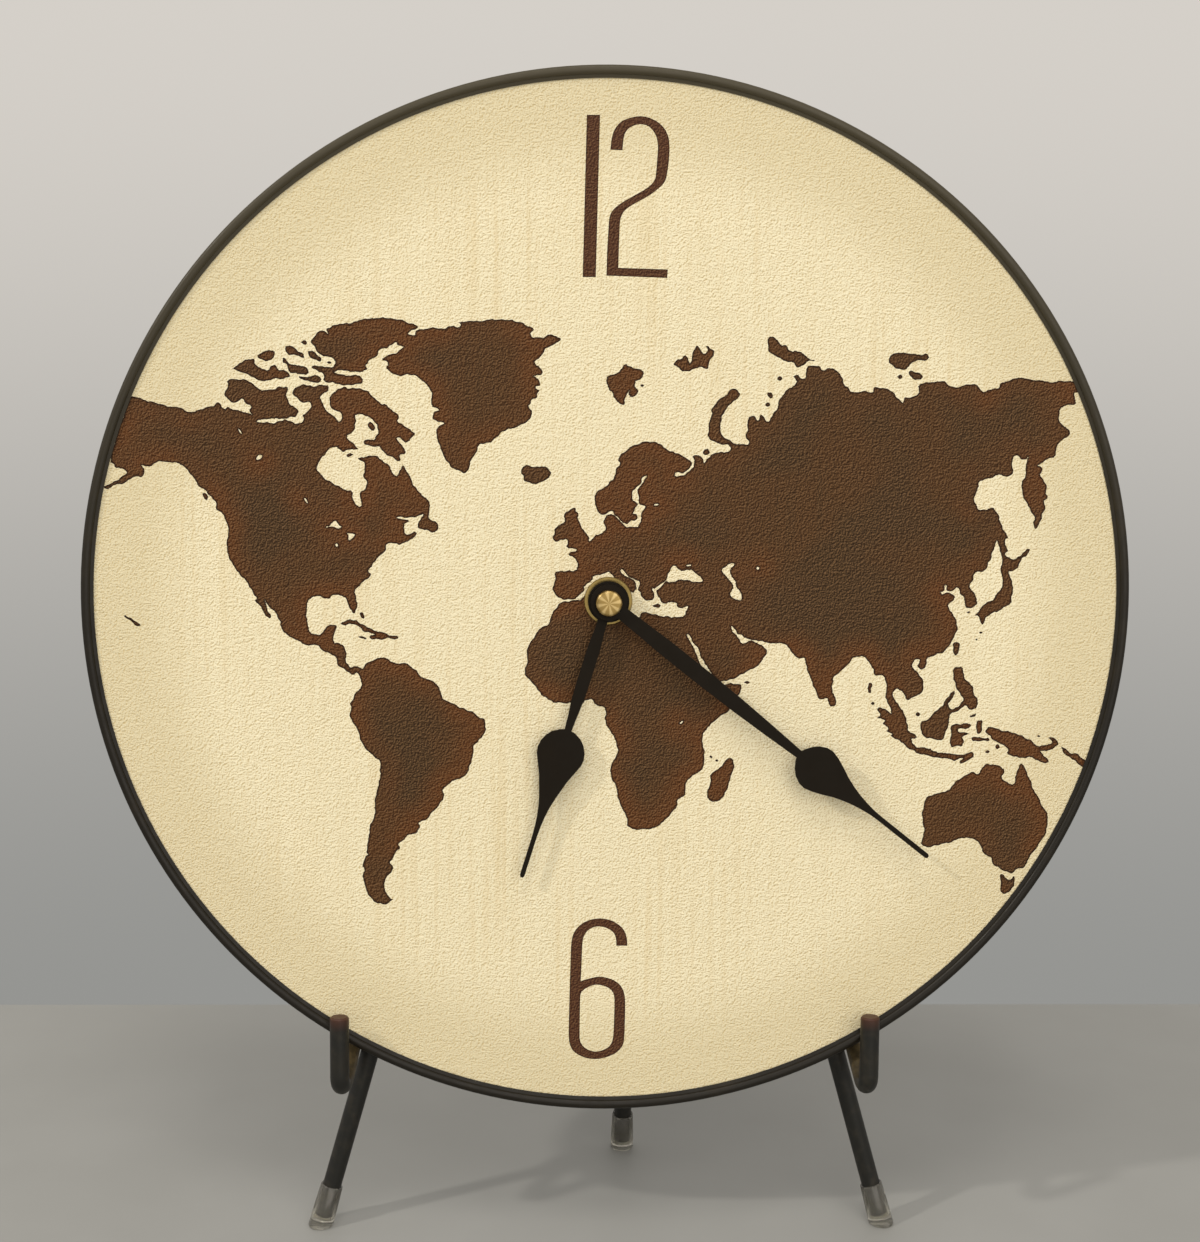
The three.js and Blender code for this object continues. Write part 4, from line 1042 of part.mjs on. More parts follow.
// A hook is brazed to the outer side of its leg where its rod just carries the rim.
const rest = discRadius + HOOK_RADIUS + SEAT_GAP;
const slope = Math.tan(LEG_SPLAY);
const hookOffset = (ROD_RADIUS + HOOK_RADIUS + SEAT_GAP) / Math.cos(LEG_SPLAY);
const reach = FOOT_SPREAD + footDrop * slope + hookOffset;
const span = 1 + slope * slope;
const chord = Math.sqrt((reach * slope) ** 2 - span * (reach * reach - rest * rest));
const rootY = (reach * slope - chord) / span;
const rootX = reach - slope * rootY;
const rootZ = legZ - ROD_RADIUS;
const prongZ = bezelRise + PRONG_GAP + HOOK_RADIUS;

const capFootRadius = ROD_RADIUS + GLUE_LINE + CAP_FOOT_WALL;
const soleRise = CAP_SOLE + SEAT_GAP + capFootRadius * Math.tan(LEG_SPLAY);
const floorSpan = FOOT_SPREAD + REAR_FOOT_SET + discRadius;
const floorCut = box(-floorSpan, floorSpan, -floorSpan, floorSpan, -CAP_LENGTH, 0);

// Clear cap on the end of a rod, cut level with the floor.
function footCap(floorPoint, axis) {
  const mouth = ROD_RADIUS + GLUE_LINE;
  const profile = [
    [0, -capFootRadius], [capFootRadius, -capFootRadius], [capFootRadius, soleRise],
    [mouth + CAP_MOUTH_WALL, CAP_LENGTH], [mouth, CAP_LENGTH], [mouth, soleRise - SEAT_GAP],
    [0, soleRise - SEAT_GAP],
  ];
  const geometry = turned(profile, 20);
  const turn = new THREE.Quaternion().setFromUnitVectors(new THREE.Vector3(0, 0, 1), axis);
  geometry.applyQuaternion(turn);
  geometry.translate(floorPoint.x, floorPoint.y, floorPoint.z);
  return solid(geometry).subtract(floorCut);
}

for (const [label, side] of [['left', -1], ['right', 1]]) {
  const foot = legPoint(side, soleRise * Math.cos(LEG_SPLAY));
  const crown = legPoint(side, legRise);
  addLeaning(`front_leg_${label}`, solid(rod([foot, crown], [], ROD_RADIUS, 1)), material(...BLACK_METAL));

  const root = new THREE.Vector3(side * rootX, rootY, rootZ);
  const shoulder = new THREE.Vector3(side * rootX, rootY, rootZ + HOOK_ROOT);
  const toe = new THREE.Vector3(side * (rootX + HOOK_FLARE), rootY - HOOK_DIP, prongZ);
  const tip = toe.clone().setY(toe.y + PRONG_LENGTH);
  const hook = rod([root, shoulder, toe, tip], [HOOK_ROOT_BEND, HOOK_BEND], HOOK_RADIUS, HOOK_STEPS);
  addLeaning(`hook_${label}`, solid(hook), material(...BLACK_METAL));

  const floorPoint = legPoint(side, 0).applyMatrix4(leaning);
  const axis = legPoint(side, 1).applyMatrix4(leaning).sub(floorPoint).normalize();
  add(`foot_cap_${label}`, footCap(floorPoint, axis), material(0xb9b39b, 0.3, 0));
}

const barZ = legZ - 2 * ROD_RADIUS - SEAT_GAP;
const barEnd = legPoint(1, -TOP_BAR_DROP - footDrop).x + BAR_OVERHANG;
const barCentre = new THREE.Vector3(0, -TOP_BAR_DROP, barZ);
const barFrom = new THREE.Vector3(-barEnd, -TOP_BAR_DROP, barZ);
const barTo = new THREE.Vector3(barEnd, -TOP_BAR_DROP, barZ);
const sleeveBore = ROD_RADIUS + RUN_GAP;
const sleeveRadius = sleeveBore + SLEEVE_WALL;

// The stop pin stands up out of the bar inside a slot of the sleeve.
function upright(radius, from, to) {
  const post = new THREE.CylinderGeometry(radius, radius, to - from, 14);
  post.translate(REAR_OFFSET, -TOP_BAR_DROP + (from + to) / 2, barZ);
  return solid(post);
}

const pinTop = sleeveRadius + STOP_PIN_PROUD;
let bar = solid(rod([barFrom, barTo], [], ROD_RADIUS, 1));
bar = bar.subtract(upright(STOP_PIN_RADIUS + GLUE_LINE, 0, ROD_RADIUS + 1));
addLeaning('top_bar', bar, material(...BLACK_METAL));
addLeaning('stop_pin', upright(STOP_PIN_RADIUS, GLUE_LINE, pinTop), material(...BLACK_METAL));

// Rear leg on a sleeve that turns on the top bar, from open to flat behind the front legs.
const hinge = barCentre.clone().applyMatrix4(leaning);
const opening = Math.atan2(REAR_FOOT_SET - hinge.y, hinge.z) + LEAN;
const slotHalf = Math.asin((STOP_PIN_RADIUS + RUN_GAP) / ROD_RADIUS);
const slotStep = 8;
const slotReach = sleeveRadius + 1;
const slotOutline = [new THREE.Vector2(0, 0)];
for (let i = 0; i <= slotStep; i += 1) {
  const angle = -slotHalf + ((opening + 2 * slotHalf) * i) / slotStep;
  slotOutline.push(new THREE.Vector2(-slotReach * Math.sin(angle), slotReach * Math.cos(angle)));
}
const slot = prism(slotOutline, -STOP_PIN_RADIUS - RUN_GAP, STOP_PIN_RADIUS + RUN_GAP);
let sleeve = cylinder(sleeveRadius, -SLEEVE_LENGTH / 2, SLEEVE_LENGTH / 2, 24);
sleeve = sleeve.subtract(cylinder(sleeveBore, -SLEEVE_LENGTH, SLEEVE_LENGTH, 24));
sleeve = sleeve.subtract(solid(slot));
const sleeveShape = geometryOf(sleeve);
sleeveShape.rotateY(Math.PI / 2);
sleeveShape.translate(REAR_OFFSET, -TOP_BAR_DROP, barZ);
addLeaning('hinge_sleeve', sleeveShape, material(...BLACK_METAL));

const rearTop = new THREE.Vector3(REAR_OFFSET, hinge.y, hinge.z);
const rearFloor = new THREE.Vector3(REAR_OFFSET, REAR_FOOT_SET, 0);
const rearAxis = rearTop.clone().sub(rearFloor).normalize();
const rearStart = rearFloor.clone().addScaledVector(rearAxis, soleRise);
const rearEnd = rearTop.clone().addScaledVector(rearAxis, -sleeveRadius - SEAT_GAP);
const rearLeg = rod([rearStart, rearEnd], [], ROD_RADIUS, 1);
add('rear_leg', solid(rearLeg), material(...BLACK_METAL));
add('foot_cap_rear', footCap(rearFloor, rearAxis), material(0xb9b39b, 0.3, 0));

// Origin under the middle of the whole object, on the floor.
const extent = new THREE.Box3().setFromObject(clock);
const middle = extent.getCenter(new THREE.Vector3());
clock.position.set(-middle.x, -middle.y, -extent.min.z);
clock.updateMatrixWorld(true);

export default clock;
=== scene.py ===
"""Looks for a round world map clock that stands on a folding wire easel."""

import json
import math

import bmesh
import bpy
import numpy as np
from bpy.props import FloatProperty, FloatVectorProperty, IntProperty, PointerProperty
from mathutils import Euler, Matrix, Vector, geometry, kdtree
from mathutils.noise import noise as noise_at


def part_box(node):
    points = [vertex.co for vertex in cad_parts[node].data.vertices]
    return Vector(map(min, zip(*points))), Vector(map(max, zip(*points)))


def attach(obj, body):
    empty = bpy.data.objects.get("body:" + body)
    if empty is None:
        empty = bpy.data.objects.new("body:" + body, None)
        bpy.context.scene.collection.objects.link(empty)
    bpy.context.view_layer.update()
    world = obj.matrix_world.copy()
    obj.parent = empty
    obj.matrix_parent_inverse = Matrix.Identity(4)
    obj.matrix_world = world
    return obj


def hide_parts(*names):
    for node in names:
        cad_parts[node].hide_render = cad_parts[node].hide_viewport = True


bl_info = {
    "name": "World map clock",
    "version": (1, 0, 0),
    "blender": (4, 5, 0),
    "location": "View3D > Sidebar > Clock",
    "description": "Builds the looks of a world map clock on its wire easel",
    "category": "Object",
}

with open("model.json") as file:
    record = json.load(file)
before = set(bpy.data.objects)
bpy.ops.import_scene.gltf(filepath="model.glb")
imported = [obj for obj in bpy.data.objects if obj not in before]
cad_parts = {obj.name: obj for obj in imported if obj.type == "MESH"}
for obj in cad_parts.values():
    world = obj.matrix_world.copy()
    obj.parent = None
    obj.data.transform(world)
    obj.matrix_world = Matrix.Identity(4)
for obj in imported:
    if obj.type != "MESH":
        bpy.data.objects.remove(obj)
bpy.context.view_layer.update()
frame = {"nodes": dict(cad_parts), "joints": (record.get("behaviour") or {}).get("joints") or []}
NODES = frame["nodes"]
JOINTS = {joint["name"]: joint for joint in frame["joints"]}

# Axes of the leaning dial: the hub, to the right, up the dial and out of it.
HUB = Vector(JOINTS["minute_spin"]["pos_m"])
OUT = -Vector(JOINTS["minute_spin"]["axis"]).normalized()
RIGHT = Vector((1.0, 0.0, 0.0))
UP = OUT.cross(RIGHT)
HUB_PLACE = Matrix.Translation(HUB) @ OUT.to_track_quat("Z", "Y").to_matrix().to_4x4()
MM = 0.001

# Camera: its place from the hub in metres, its angles in radians.
CAMERA_FROM_HUB = Vector((-0.018738, -0.582806, 0.141373))
CAMERA_DIP = 0.247784
CAMERA_TURN = -0.0281154
CAMERA_ROLL = 0.011521
CAMERA_LENS_MM = 61.81
CAMERA_SENSOR_MM = 36.0

# Square soft lights: name, place and side in metres, power in watts.
LAMPS = (
    ("key_left", (-2.33, -1.10, 2.10), 0.16, 30.0),
    ("key_top", (-0.05, -1.08, 2.99), 0.9, 17.0),
    ("fill_front", (0.80, -2.30, 1.30), 2.4, 26.5),
)

# Film pressed on the dial. Its pebbles are drawn as fine as the render can hold, and the slope
# is the step in height that counts as a full side.
PEBBLE_MM = 0.56
PEBBLE_DEPTH_MM = 0.5
# The step towards the upper left below sets where each pebble gets its painted highlight and
# painted shade.
PEBBLE_LIGHT_STEP_MM = 0.16
PEBBLE_SLOPE = 0.14

# Places on the dial, in millimetres from the hub.
SHAFT_REACH = 8
EDGE_REACH = 149.5
FIGURE_HALF_WIDTH = 20
FIGURE_ABOVE = 90
FIGURE_UNDER = -93

# Drawing of the coasts, in millimetres, and the share of an edge that a cut corner takes.
CORNER_CUT = 0.22
COAST_SWING = 0.4
COAST_STEP = 0.6
BAY_LENGTH = 1.5
INLAND_PITCH = 2.6
INLAND_STEP = 0.9
INLAND_ROWS = (0.45, 1.1)
INLAND_CLEAR = 0.4

# Pale pieces that lie inside the brown.
INLAYS = ("inlay_six", "inlay_caspian", "inlay_superior")

# Lakes too small for a piece of their own, as (x, u) outlines on the dial in millimetres.
LAKES = (
    ((-75.6, 20.2), (-73.2, 19.8), (-73.5, 19.2), (-74.6, 18.1), (-75.2, 18.2), (-75.0, 19.4)),
    ((-79.0, 16.9), (-78.4, 17.2), (-78.2, 16.4), (-78.7, 16.2)),
    ((-106.2, 50.4), (-105.6, 49.8), (-105.1, 48.9), (-105.6, 49.0)),
    ((-101.2, 41.8), (-100.5, 42.8), (-99.4, 42.7), (-99.8, 41.8), (-101.0, 41.3)),
    ((-87.8, 30.3), (-87.2, 30.2), (-86.6, 28.8), (-87.0, 29.0)),
    ((43.2, 8.9), (43.4, 9.6), (44.0, 9.5), (43.9, 8.8)),
    ((20.8, -36.3), (21.5, -35.6), (21.9, -35.7), (21.2, -36.5)),
    ((13.4, 28.0), (14.6, 28.1), (14.6, 27.7), (13.5, 27.6)),
    ((22.8, 10.2), (24.1, 10.4), (24.1, 10.0), (22.9, 9.9)),
)

# Sockets of a colour Mix node by place, because its other types share their names.
MIX_SHARE, MIX_FROM, MIX_TO, MIX_RESULT = 0, 6, 7, 2

# Surface of the brown print under its film.
PRINT_SURFACE = {"Roughness": 0.5, "IOR": 1.45, "Specular IOR Level": 0.15}


def linear(code):
    """Turns an sRGB hex code into the linear colour that shaders take."""
    tones = []
    for start in (0, 2, 4):
        tone = int(code[start : start + 2], 16) / 255
        tones.append(tone / 12.92 if tone <= 0.04045 else ((tone + 0.055) / 1.055) ** 2.4)
    return (*tones, 1.0)


def length(name, description, default):
    """A size in metres that shows in scene units."""
    return FloatProperty(name=name, description=description, default=default, unit="LENGTH")


def tone(name, description, code):
    """A colour swatch."""
    return FloatVectorProperty(
        name=name, description=description, size=4, subtype="COLOR", default=linear(code)
    )


class ClockSizes(bpy.types.PropertyGroup):
    """Sizes of the pieces that are made afresh round the frame."""

    dial_radius: length("Dial", "Radius of the dial inside the rim", 0.14885)
    disc_radius: length("Disc", "Outer radius of the rim", 0.1525)
    sheet_radius: length("Veneer", "Radius of the veneer under the rim", 0.1506)
    shaft_hole: length("Shaft hole", "Radius of the hole for the bushing", 0.0042)
    rim_spring: length("Rim spring", "Height where the rim's bead starts", 0.0006)
    rim_bead: length("Rim bead", "Height of the rounded bead", 0.001)
    rim_bevel: length("Rim bevel", "Slope inside the bead", 0.001)
    rim_skirt: length("Rim skirt", "Wall of the rim behind the dial", 0.0016)
    rim_back: length("Rim depth", "Depth of the rim behind the dial's face", 0.0096)
    sheet: length("Veneer thickness", "Thickness of the veneer", 0.0008)
    rod: length("Wire", "Radius of the legs' wire", 0.0028)
    hook: length("Hook wire", "Radius of the hooks' wire", 0.0028)
    hook_root_x: length("Hook root", "Hook root from the middle", 0.07604)
    hook_root_u: length("Hook root drop", "Hook root under the hub", 0.13576)
    hook_flare: length("Hook flare", "How far the toe stands out from the root", 0.0021)
    hook_dip: length("Hook dip", "How far the toe hangs under the root", 0.0115)
    prong: length("Prong", "Height of the hook's upright end", 0.025)
    hook_start: length("Hook start", "Depth of the root behind the dial's face", 0.0155)
    hook_neck: length("Hook neck", "Straight start of the hook", 0.0064)
    prong_reach: length("Prong reach", "How far the prong stands before the dial", 0.0069)
    hook_bend: length("Hook bend", "Bend radius under the prong", 0.0036)
    root_bend: length("Root bend", "Bend radius near the leg", 0.004)
    cap_length: length("Cap length", "Length of a foot cap", 0.0132)
    cap_foot: length("Cap foot", "Radius of a foot cap at the floor", 0.0037)
    cap_mouth: length("Cap mouth", "Radius of a foot cap at its mouth", 0.00335)
    cap_sole: length("Cap sole", "Clear end under the wire", 0.0028)
    nut_cap: length("Cap nut", "Radius of the cap nut", 0.00375)
    dial_turn: FloatProperty(
        name="Dial turn",
        description="How far the disc sits turned in its hooks",
        default=math.radians(0.66),
        subtype="ANGLE",
    )
    round_sides: IntProperty(
        name="Round sides", description="Sides of the disc's circles", default=224, min=24
    )


class ClockColours(bpy.types.PropertyGroup):
    """Colours of the finishes."""

    cream: tone("Veneer", "Pale face of the veneer", "F5ECCC")
    grain: tone("Grain", "Darker streaks in the veneer", "E5D2A6")
    # Painted shade: the veneer is drawn in this darker tone next to the rim.
    edge: tone("Veneer edge", "Tanned veneer next to the rim", "E4D9B6")
    # Painted shade on the sides of the pebbles that look away from the light.
    pebble_shade: tone("Dents", "Shade in the dents of the film", "D5C08E")
    umber: tone("Land", "Main brown of the land", "50361D")
    dusk: tone("Land shade", "Cooler dark blotches in the land", "44331F")
    rust: tone("Land glow", "Warm brown near the coasts", "633A1A")
    # Painted highlight on the sides of the pebbles that look up to the left.
    pebble_highlight: tone("Land crests", "Pebbles of the film that catch the light", "7F6040")
    scorch: tone("Coast", "Dark line along the coasts", "24140A")
    figure: tone("Figures", "Brown of the numerals", "523222")
    rim: tone("Rim", "Satin black of the rim", "18140C")
    # Painted highlight: the top of the rim is drawn lighter in this colour.
    rim_top_sheen: tone("Rim faded", "Faded black at the top of the rim", "4A4434")
    hand: tone("Hands", "Black lacquer of the hands", "19140D")
    wire: tone("Wire", "Black lacquer of the easel", "1A1A17")
    braze: tone("Braze", "Brown metal where the hooks are joined", "66583C")
    brass: tone("Brass", "Turned brass", "94804E")
    # Painted highlight: the bright rays stand for the star-shaped glint of turned brass.
    cap: tone("Cap", "Bright rays of the cap nut", "C2AA76")
    vinyl: tone("Vinyl", "Clear soft caps", "F3F0E6")
    table: tone("Table", "Floor of the studio", "979896")


def add_node(tree, kind, sockets=None, **settings):
    """Adds a node: settings are its own fields, sockets hold values or outputs to link."""
    made = tree.nodes.new(kind)
    for field, value in settings.items():
        setattr(made, field, value)
    for socket, value in (sockets or {}).items():
        if isinstance(value, bpy.types.NodeSocket):
            tree.links.new(value, made.inputs[socket])
        else:
            made.inputs[socket].default_value = value
    return made


def start_material(name, surface):
    """A node material with surface set on its shader: gives it, its tree and the shader."""
    made = bpy.data.materials.new(name)
    made.use_nodes = True
    tree = made.node_tree
    tree.nodes.clear()
    shader = add_node(tree, "ShaderNodeBsdfPrincipled", surface)
    add_node(tree, "ShaderNodeOutputMaterial", {"Surface": shader.outputs["BSDF"]})
    return made, tree, shader


def per_metre(size_mm):
    """Texture scale whose features are about size_mm wide."""
    return 1000.0 / size_mm


def patches(tree, size_mm, low, high, start=0.0, end=1.0, detail=2.0, stretch=(1.0, 1.0, 1.0)):
    """Cloudy patches about size_mm wide, whose share goes from start to end."""
    place = add_node(tree, "ShaderNodeTexCoord").outputs["Object"]
    drawn = add_node(tree, "ShaderNodeMapping", {"Vector": place, "Scale": stretch})
    sockets = {"Vector": drawn.outputs[0], "Scale": per_metre(size_mm), "Detail": detail}
    cloud = add_node(tree, "ShaderNodeTexNoise", sockets).outputs["Fac"]
    sockets = {"Value": cloud, "From Min": low, "From Max": high, "To Min": start, "To Max": end}
    share = add_node(tree, "ShaderNodeMapRange", sockets, interpolation_type="SMOOTHSTEP")
    return share.outputs["Result"]


def upright_grain(tree, width_mm, length_mm, low, high, start=0.0, end=1.0):
    """Streaks that run up the dial, as wood grain does."""
    stretch = (1.0, 0.0, width_mm / length_mm)
    return patches(tree, width_mm, low, high, start, end, 3.0, stretch)


def grit(tree, shader, size_mm, depth_mm, strength):
    """Fine relief with grains about size_mm wide."""
    place = add_node(tree, "ShaderNodeTexCoord").outputs["Object"]
    sockets = {"Vector": place, "Scale": per_metre(size_mm), "Detail": 2.0}
    height = add_node(tree, "ShaderNodeTexNoise", sockets).outputs["Fac"]
    sockets = {"Height": height, "Distance": depth_mm * MM, "Strength": strength}
    relief = add_node(tree, "ShaderNodeBump", sockets)
    tree.links.new(relief.outputs["Normal"], shader.inputs["Normal"])


def pebbled_film(tree, shader, pebble_shade, pebble_highlight=0.0):
    """Film pressed on the dial: gives the shares of painted shade and, with a highlight share, of
    painted highlight on its pebbles.
    """
    # Leathery pebbles. The side of each pebble that looks up to the left gets a painted highlight,
    # and the side away from it gets a painted shade.
    place = add_node(tree, "ShaderNodeTexCoord").outputs["Object"]
    toward_light = (-PEBBLE_LIGHT_STEP_MM * MM, 0.0, PEBBLE_LIGHT_STEP_MM * MM)
    ahead = add_node(tree, "ShaderNodeMapping", {"Vector": place, "Location": toward_light}).outputs[0]
    heights = []
    for spot in (place, ahead):
        sockets = {"Vector": spot, "Scale": per_metre(PEBBLE_MM), "Detail": 2.0}
        heights.append(add_node(tree, "ShaderNodeTexNoise", sockets).outputs["Fac"])
    sockets = {"Height": heights[0], "Distance": PEBBLE_DEPTH_MM * MM, "Strength": 0.9}
    relief = add_node(tree, "ShaderNodeBump", sockets)
    tree.links.new(relief.outputs["Normal"], shader.inputs["Normal"])
    sockets = {0: heights[0], 1: heights[1]}
    slope = add_node(tree, "ShaderNodeMath", sockets, operation="SUBTRACT").outputs[0]
    # Painted shade on the sides that look away from the light, painted highlight on those that
    # look towards it.
    spans = [(-PEBBLE_SLOPE, 0.0, pebble_shade, 0.0)]
    if pebble_highlight:
        spans.append((0.0, PEBBLE_SLOPE, 0.0, pebble_highlight))
    shares = []
    for low, high, start, end in spans:
        span = {"Value": slope, "From Min": low, "From Max": high, "To Min": start, "To Max": end}
        shares.append(add_node(tree, "ShaderNodeMapRange", span).outputs["Result"])
    return shares


def coast_band(tree, near_mm, far_mm, share):
    """Share of a tone along the coast that fades out inland."""
    coast = add_node(tree, "ShaderNodeAttribute", attribute_name="coast").outputs["Fac"]
    sockets = {"Value": coast, "From Min": near_mm, "From Max": far_mm}
    sockets.update({"To Min": share, "To Max": 0.0})
    band = add_node(tree, "ShaderNodeMapRange", sockets, interpolation_type="SMOOTHSTEP")
    return band.outputs["Result"]


def paint(tree, shader, base, *coats):
    """Lays colours over a base in order, each by its own share."""
    colour = base
    for share, coat in coats:
        sockets = {MIX_SHARE: share, MIX_FROM: colour, MIX_TO: coat}
        colour = add_node(tree, "ShaderNodeMix", sockets, data_type="RGBA").outputs[MIX_RESULT]
    tree.links.new(colour, shader.inputs["Base Color"])


def veneer_maple(colours):
    """Cream stained maple veneer under a pebbled film."""
    # Rotary-cut maple shows soft upright streaks; the film over it breaks up the light finely.
    surface = {"Roughness": 0.6, "IOR": 1.45, "Specular IOR Level": 0.25}
    made, tree, shader = start_material("maple_veneer_cream_stained", surface)
    # Painted shade on the sides of the pebbles that look away from the light.
    (shaded_sides,) = pebbled_film(tree, shader, 0.95)
    streaks = upright_grain(tree, 1.9, 80.0, 0.42, 0.72, end=0.5)
    bands = upright_grain(tree, 38.0, 90.0, 0.4, 0.62, start=0.3)
    share = add_node(tree, "ShaderNodeMath", {0: streaks, 1: bands}, operation="MULTIPLY")
    # Painted shade: the veneer turns darker towards the rim, from 114 mm out to 140 mm.
    shade_start, shade_end = 0.114, 0.140
    place = add_node(tree, "ShaderNodeTexCoord").outputs["Object"]
    reach = add_node(tree, "ShaderNodeVectorMath", {0: place, 1: HUB}, operation="DISTANCE")
    sockets = {"Value": reach.outputs["Value"], "From Min": shade_start, "From Max": shade_end}
    rim_shade = add_node(tree, "ShaderNodeMapRange", sockets, interpolation_type="SMOOTHSTEP")
    paint(
        tree,
        shader,
        colours.cream,
        (share.outputs[0], colours.grain),
        (rim_shade.outputs["Result"], colours.edge),
        (shaded_sides, colours.pebble_shade),
    )
    return made


def print_walnut(colours):
    """Walnut brown print, scorched along its coasts."""
    # Blotches of cool umber inland, a warm glow towards the coast and a thin burnt outline,
    # with painted highlight and painted shade on the film's pebbles.
    made, tree, shader = start_material("walnut_stain_scorched", PRINT_SURFACE)
    shaded_sides, lit_sides = pebbled_film(tree, shader, 0.72, 0.62)
    warm = patches(tree, 26.0, 0.4, 0.6, start=0.3)
    near = coast_band(tree, 0.5, 9.0, 0.9)
    glow = add_node(tree, "ShaderNodeMath", {0: near, 1: warm}, operation="MULTIPLY")
    paint(
        tree,
        shader,
        colours.umber,
        (patches(tree, 30.0, 0.42, 0.6, end=0.85), colours.dusk),
        (upright_grain(tree, 1.8, 40.0, 0.5, 0.72, end=0.5), colours.dusk),
        (glow.outputs[0], colours.rust),
        # Painted highlight and painted shade on the sides of the pebbles; the shade takes the
        # coast's dark brown.
        (lit_sides, colours.pebble_highlight),
        (shaded_sides, colours.scorch),
        (coast_band(tree, 0.1, 0.75, 0.92), colours.scorch),
    )
    return made


def print_figure(colours):
    """Plain brown print of the numerals."""
    # Even brown under the same pebbled film, with painted highlight and painted shade on its
    # pebbles, and a slightly darker outline.
    made, tree, shader = start_material("walnut_stain_plain", PRINT_SURFACE)
    shaded_sides, lit_sides = pebbled_film(tree, shader, 0.65, 0.5)
    paint(
        tree,
        shader,
        colours.figure,
        # Painted highlight and painted shade on the sides of the pebbles; the shade takes the
        # coast's dark brown.
        (lit_sides, colours.pebble_highlight),
        (shaded_sides, colours.scorch),
        (coast_band(tree, 0.05, 0.5, 0.6), colours.scorch),
    )
    return made


def rim_lacquer(colours):
    """Satin black lacquer with an olive cast on the moulded rim."""
    # Satin black with a soft highlight along the bead, and a painted highlight that lightens the
    # rim towards its top, where it looks up.
    surface = {"Specular IOR Level": 0.28}
    made, tree, shader = start_material("abs_satin_black", surface)
    # Painted highlight: the rim is drawn lighter towards its top, where it looks up to the light.
    sheen_low, sheen_high = 0.17, 0.34
    place = add_node(tree, "ShaderNodeTexCoord").outputs["Object"]
    height = add_node(tree, "ShaderNodeSeparateXYZ", {"Vector": place}).outputs["Z"]
    sockets = {"Value": height, "From Min": sheen_low, "From Max": sheen_high, "To Max": 0.9}
    top_sheen = add_node(tree, "ShaderNodeMapRange", sockets, interpolation_type="SMOOTHSTEP")
    paint(
        tree,
        shader,
        colours.rim,
        (patches(tree, 9.0, 0.5, 0.75, end=0.5, detail=4.0), linear("2A2316")),
        (top_sheen.outputs["Result"], colours.rim_top_sheen),
    )
    sheen = patches(tree, 4.0, 0.3, 0.7, start=0.38, end=0.5)
    tree.links.new(sheen, shader.inputs["Roughness"])
    grit(tree, shader, 1.2, 0.05, 0.35)
    return made


def hand_lacquer(colours):
    """Matt black lacquer on stamped aluminium."""
    # Dead black from the front, with a dull gleam only on the cut edges.
    surface = {"Specular IOR Level": 0.1}
    made, tree, shader = start_material("aluminium_lacquered_black", surface)
    worn = patches(tree, 9.0, 0.5, 0.75, end=0.5, detail=4.0)
    paint(tree, shader, colours.hand, (worn, linear("1C150C")))
    sheen = patches(tree, 4.0, 0.3, 0.7, start=0.49, end=0.63)
    tree.links.new(sheen, shader.inputs["Roughness"])
    grit(tree, shader, 0.6, 0.05, 0.35)
    return made


def wire_lacquer(colours):
    """Dipped black lacquer on drawn steel wire, browned at the joints and rubbed at the tips."""
    # Charcoal black along the wire, brown flux and metal near a joint, red-brown on a worn tip.
    surface = {"Roughness": 0.46, "IOR": 1.5, "Specular IOR Level": 0.3}
    made, tree, shader = start_material("steel_wire_lacquered_black", surface)
    wear = add_node(tree, "ShaderNodeAttribute", attribute_name="wear").outputs["Fac"]
    rough = patches(tree, 1.6, 0.35, 0.65, start=0.55, detail=3.0)
    sockets = {0: wear, 1: rough}
    heat = add_node(tree, "ShaderNodeMath", sockets, operation="MULTIPLY", use_clamp=True)
    sockets = {"Value": wear, "From Min": -1.0, "From Max": 0.0, "To Min": 0.8, "To Max": 0.0}
    rubbed = add_node(tree, "ShaderNodeMapRange", sockets).outputs["Result"]
    paint(
        tree,
        shader,
        colours.wire,
        (patches(tree, 3.5, 0.45, 0.75, end=0.6, detail=4.0), linear("302C24")),
        (heat.outputs[0], colours.braze),
        (rubbed, linear("4C2E22")),
    )
    grit(tree, shader, 1.1, 0.12, 0.5)
    return made


def brass_turned(colours):
    """Brass faced on a lathe and dulled."""
    # Fine rings left by the tool stretch each highlight into a bright fan.
    surface = {"Metallic": 1.0, "Roughness": 0.34, "Anisotropic": 0.8}
    made, tree, shader = start_material("brass_turned", surface)
    dull = patches(tree, 2.5, 0.4, 0.75, end=0.5, detail=3.0)
    paint(tree, shader, colours.brass, (dull, linear("7C6A3C")))
    tangent = add_node(tree, "ShaderNodeTangent", direction_type="RADIAL", axis="Z")
    tree.links.new(tangent.outputs[0], shader.inputs["Tangent"])
    return made


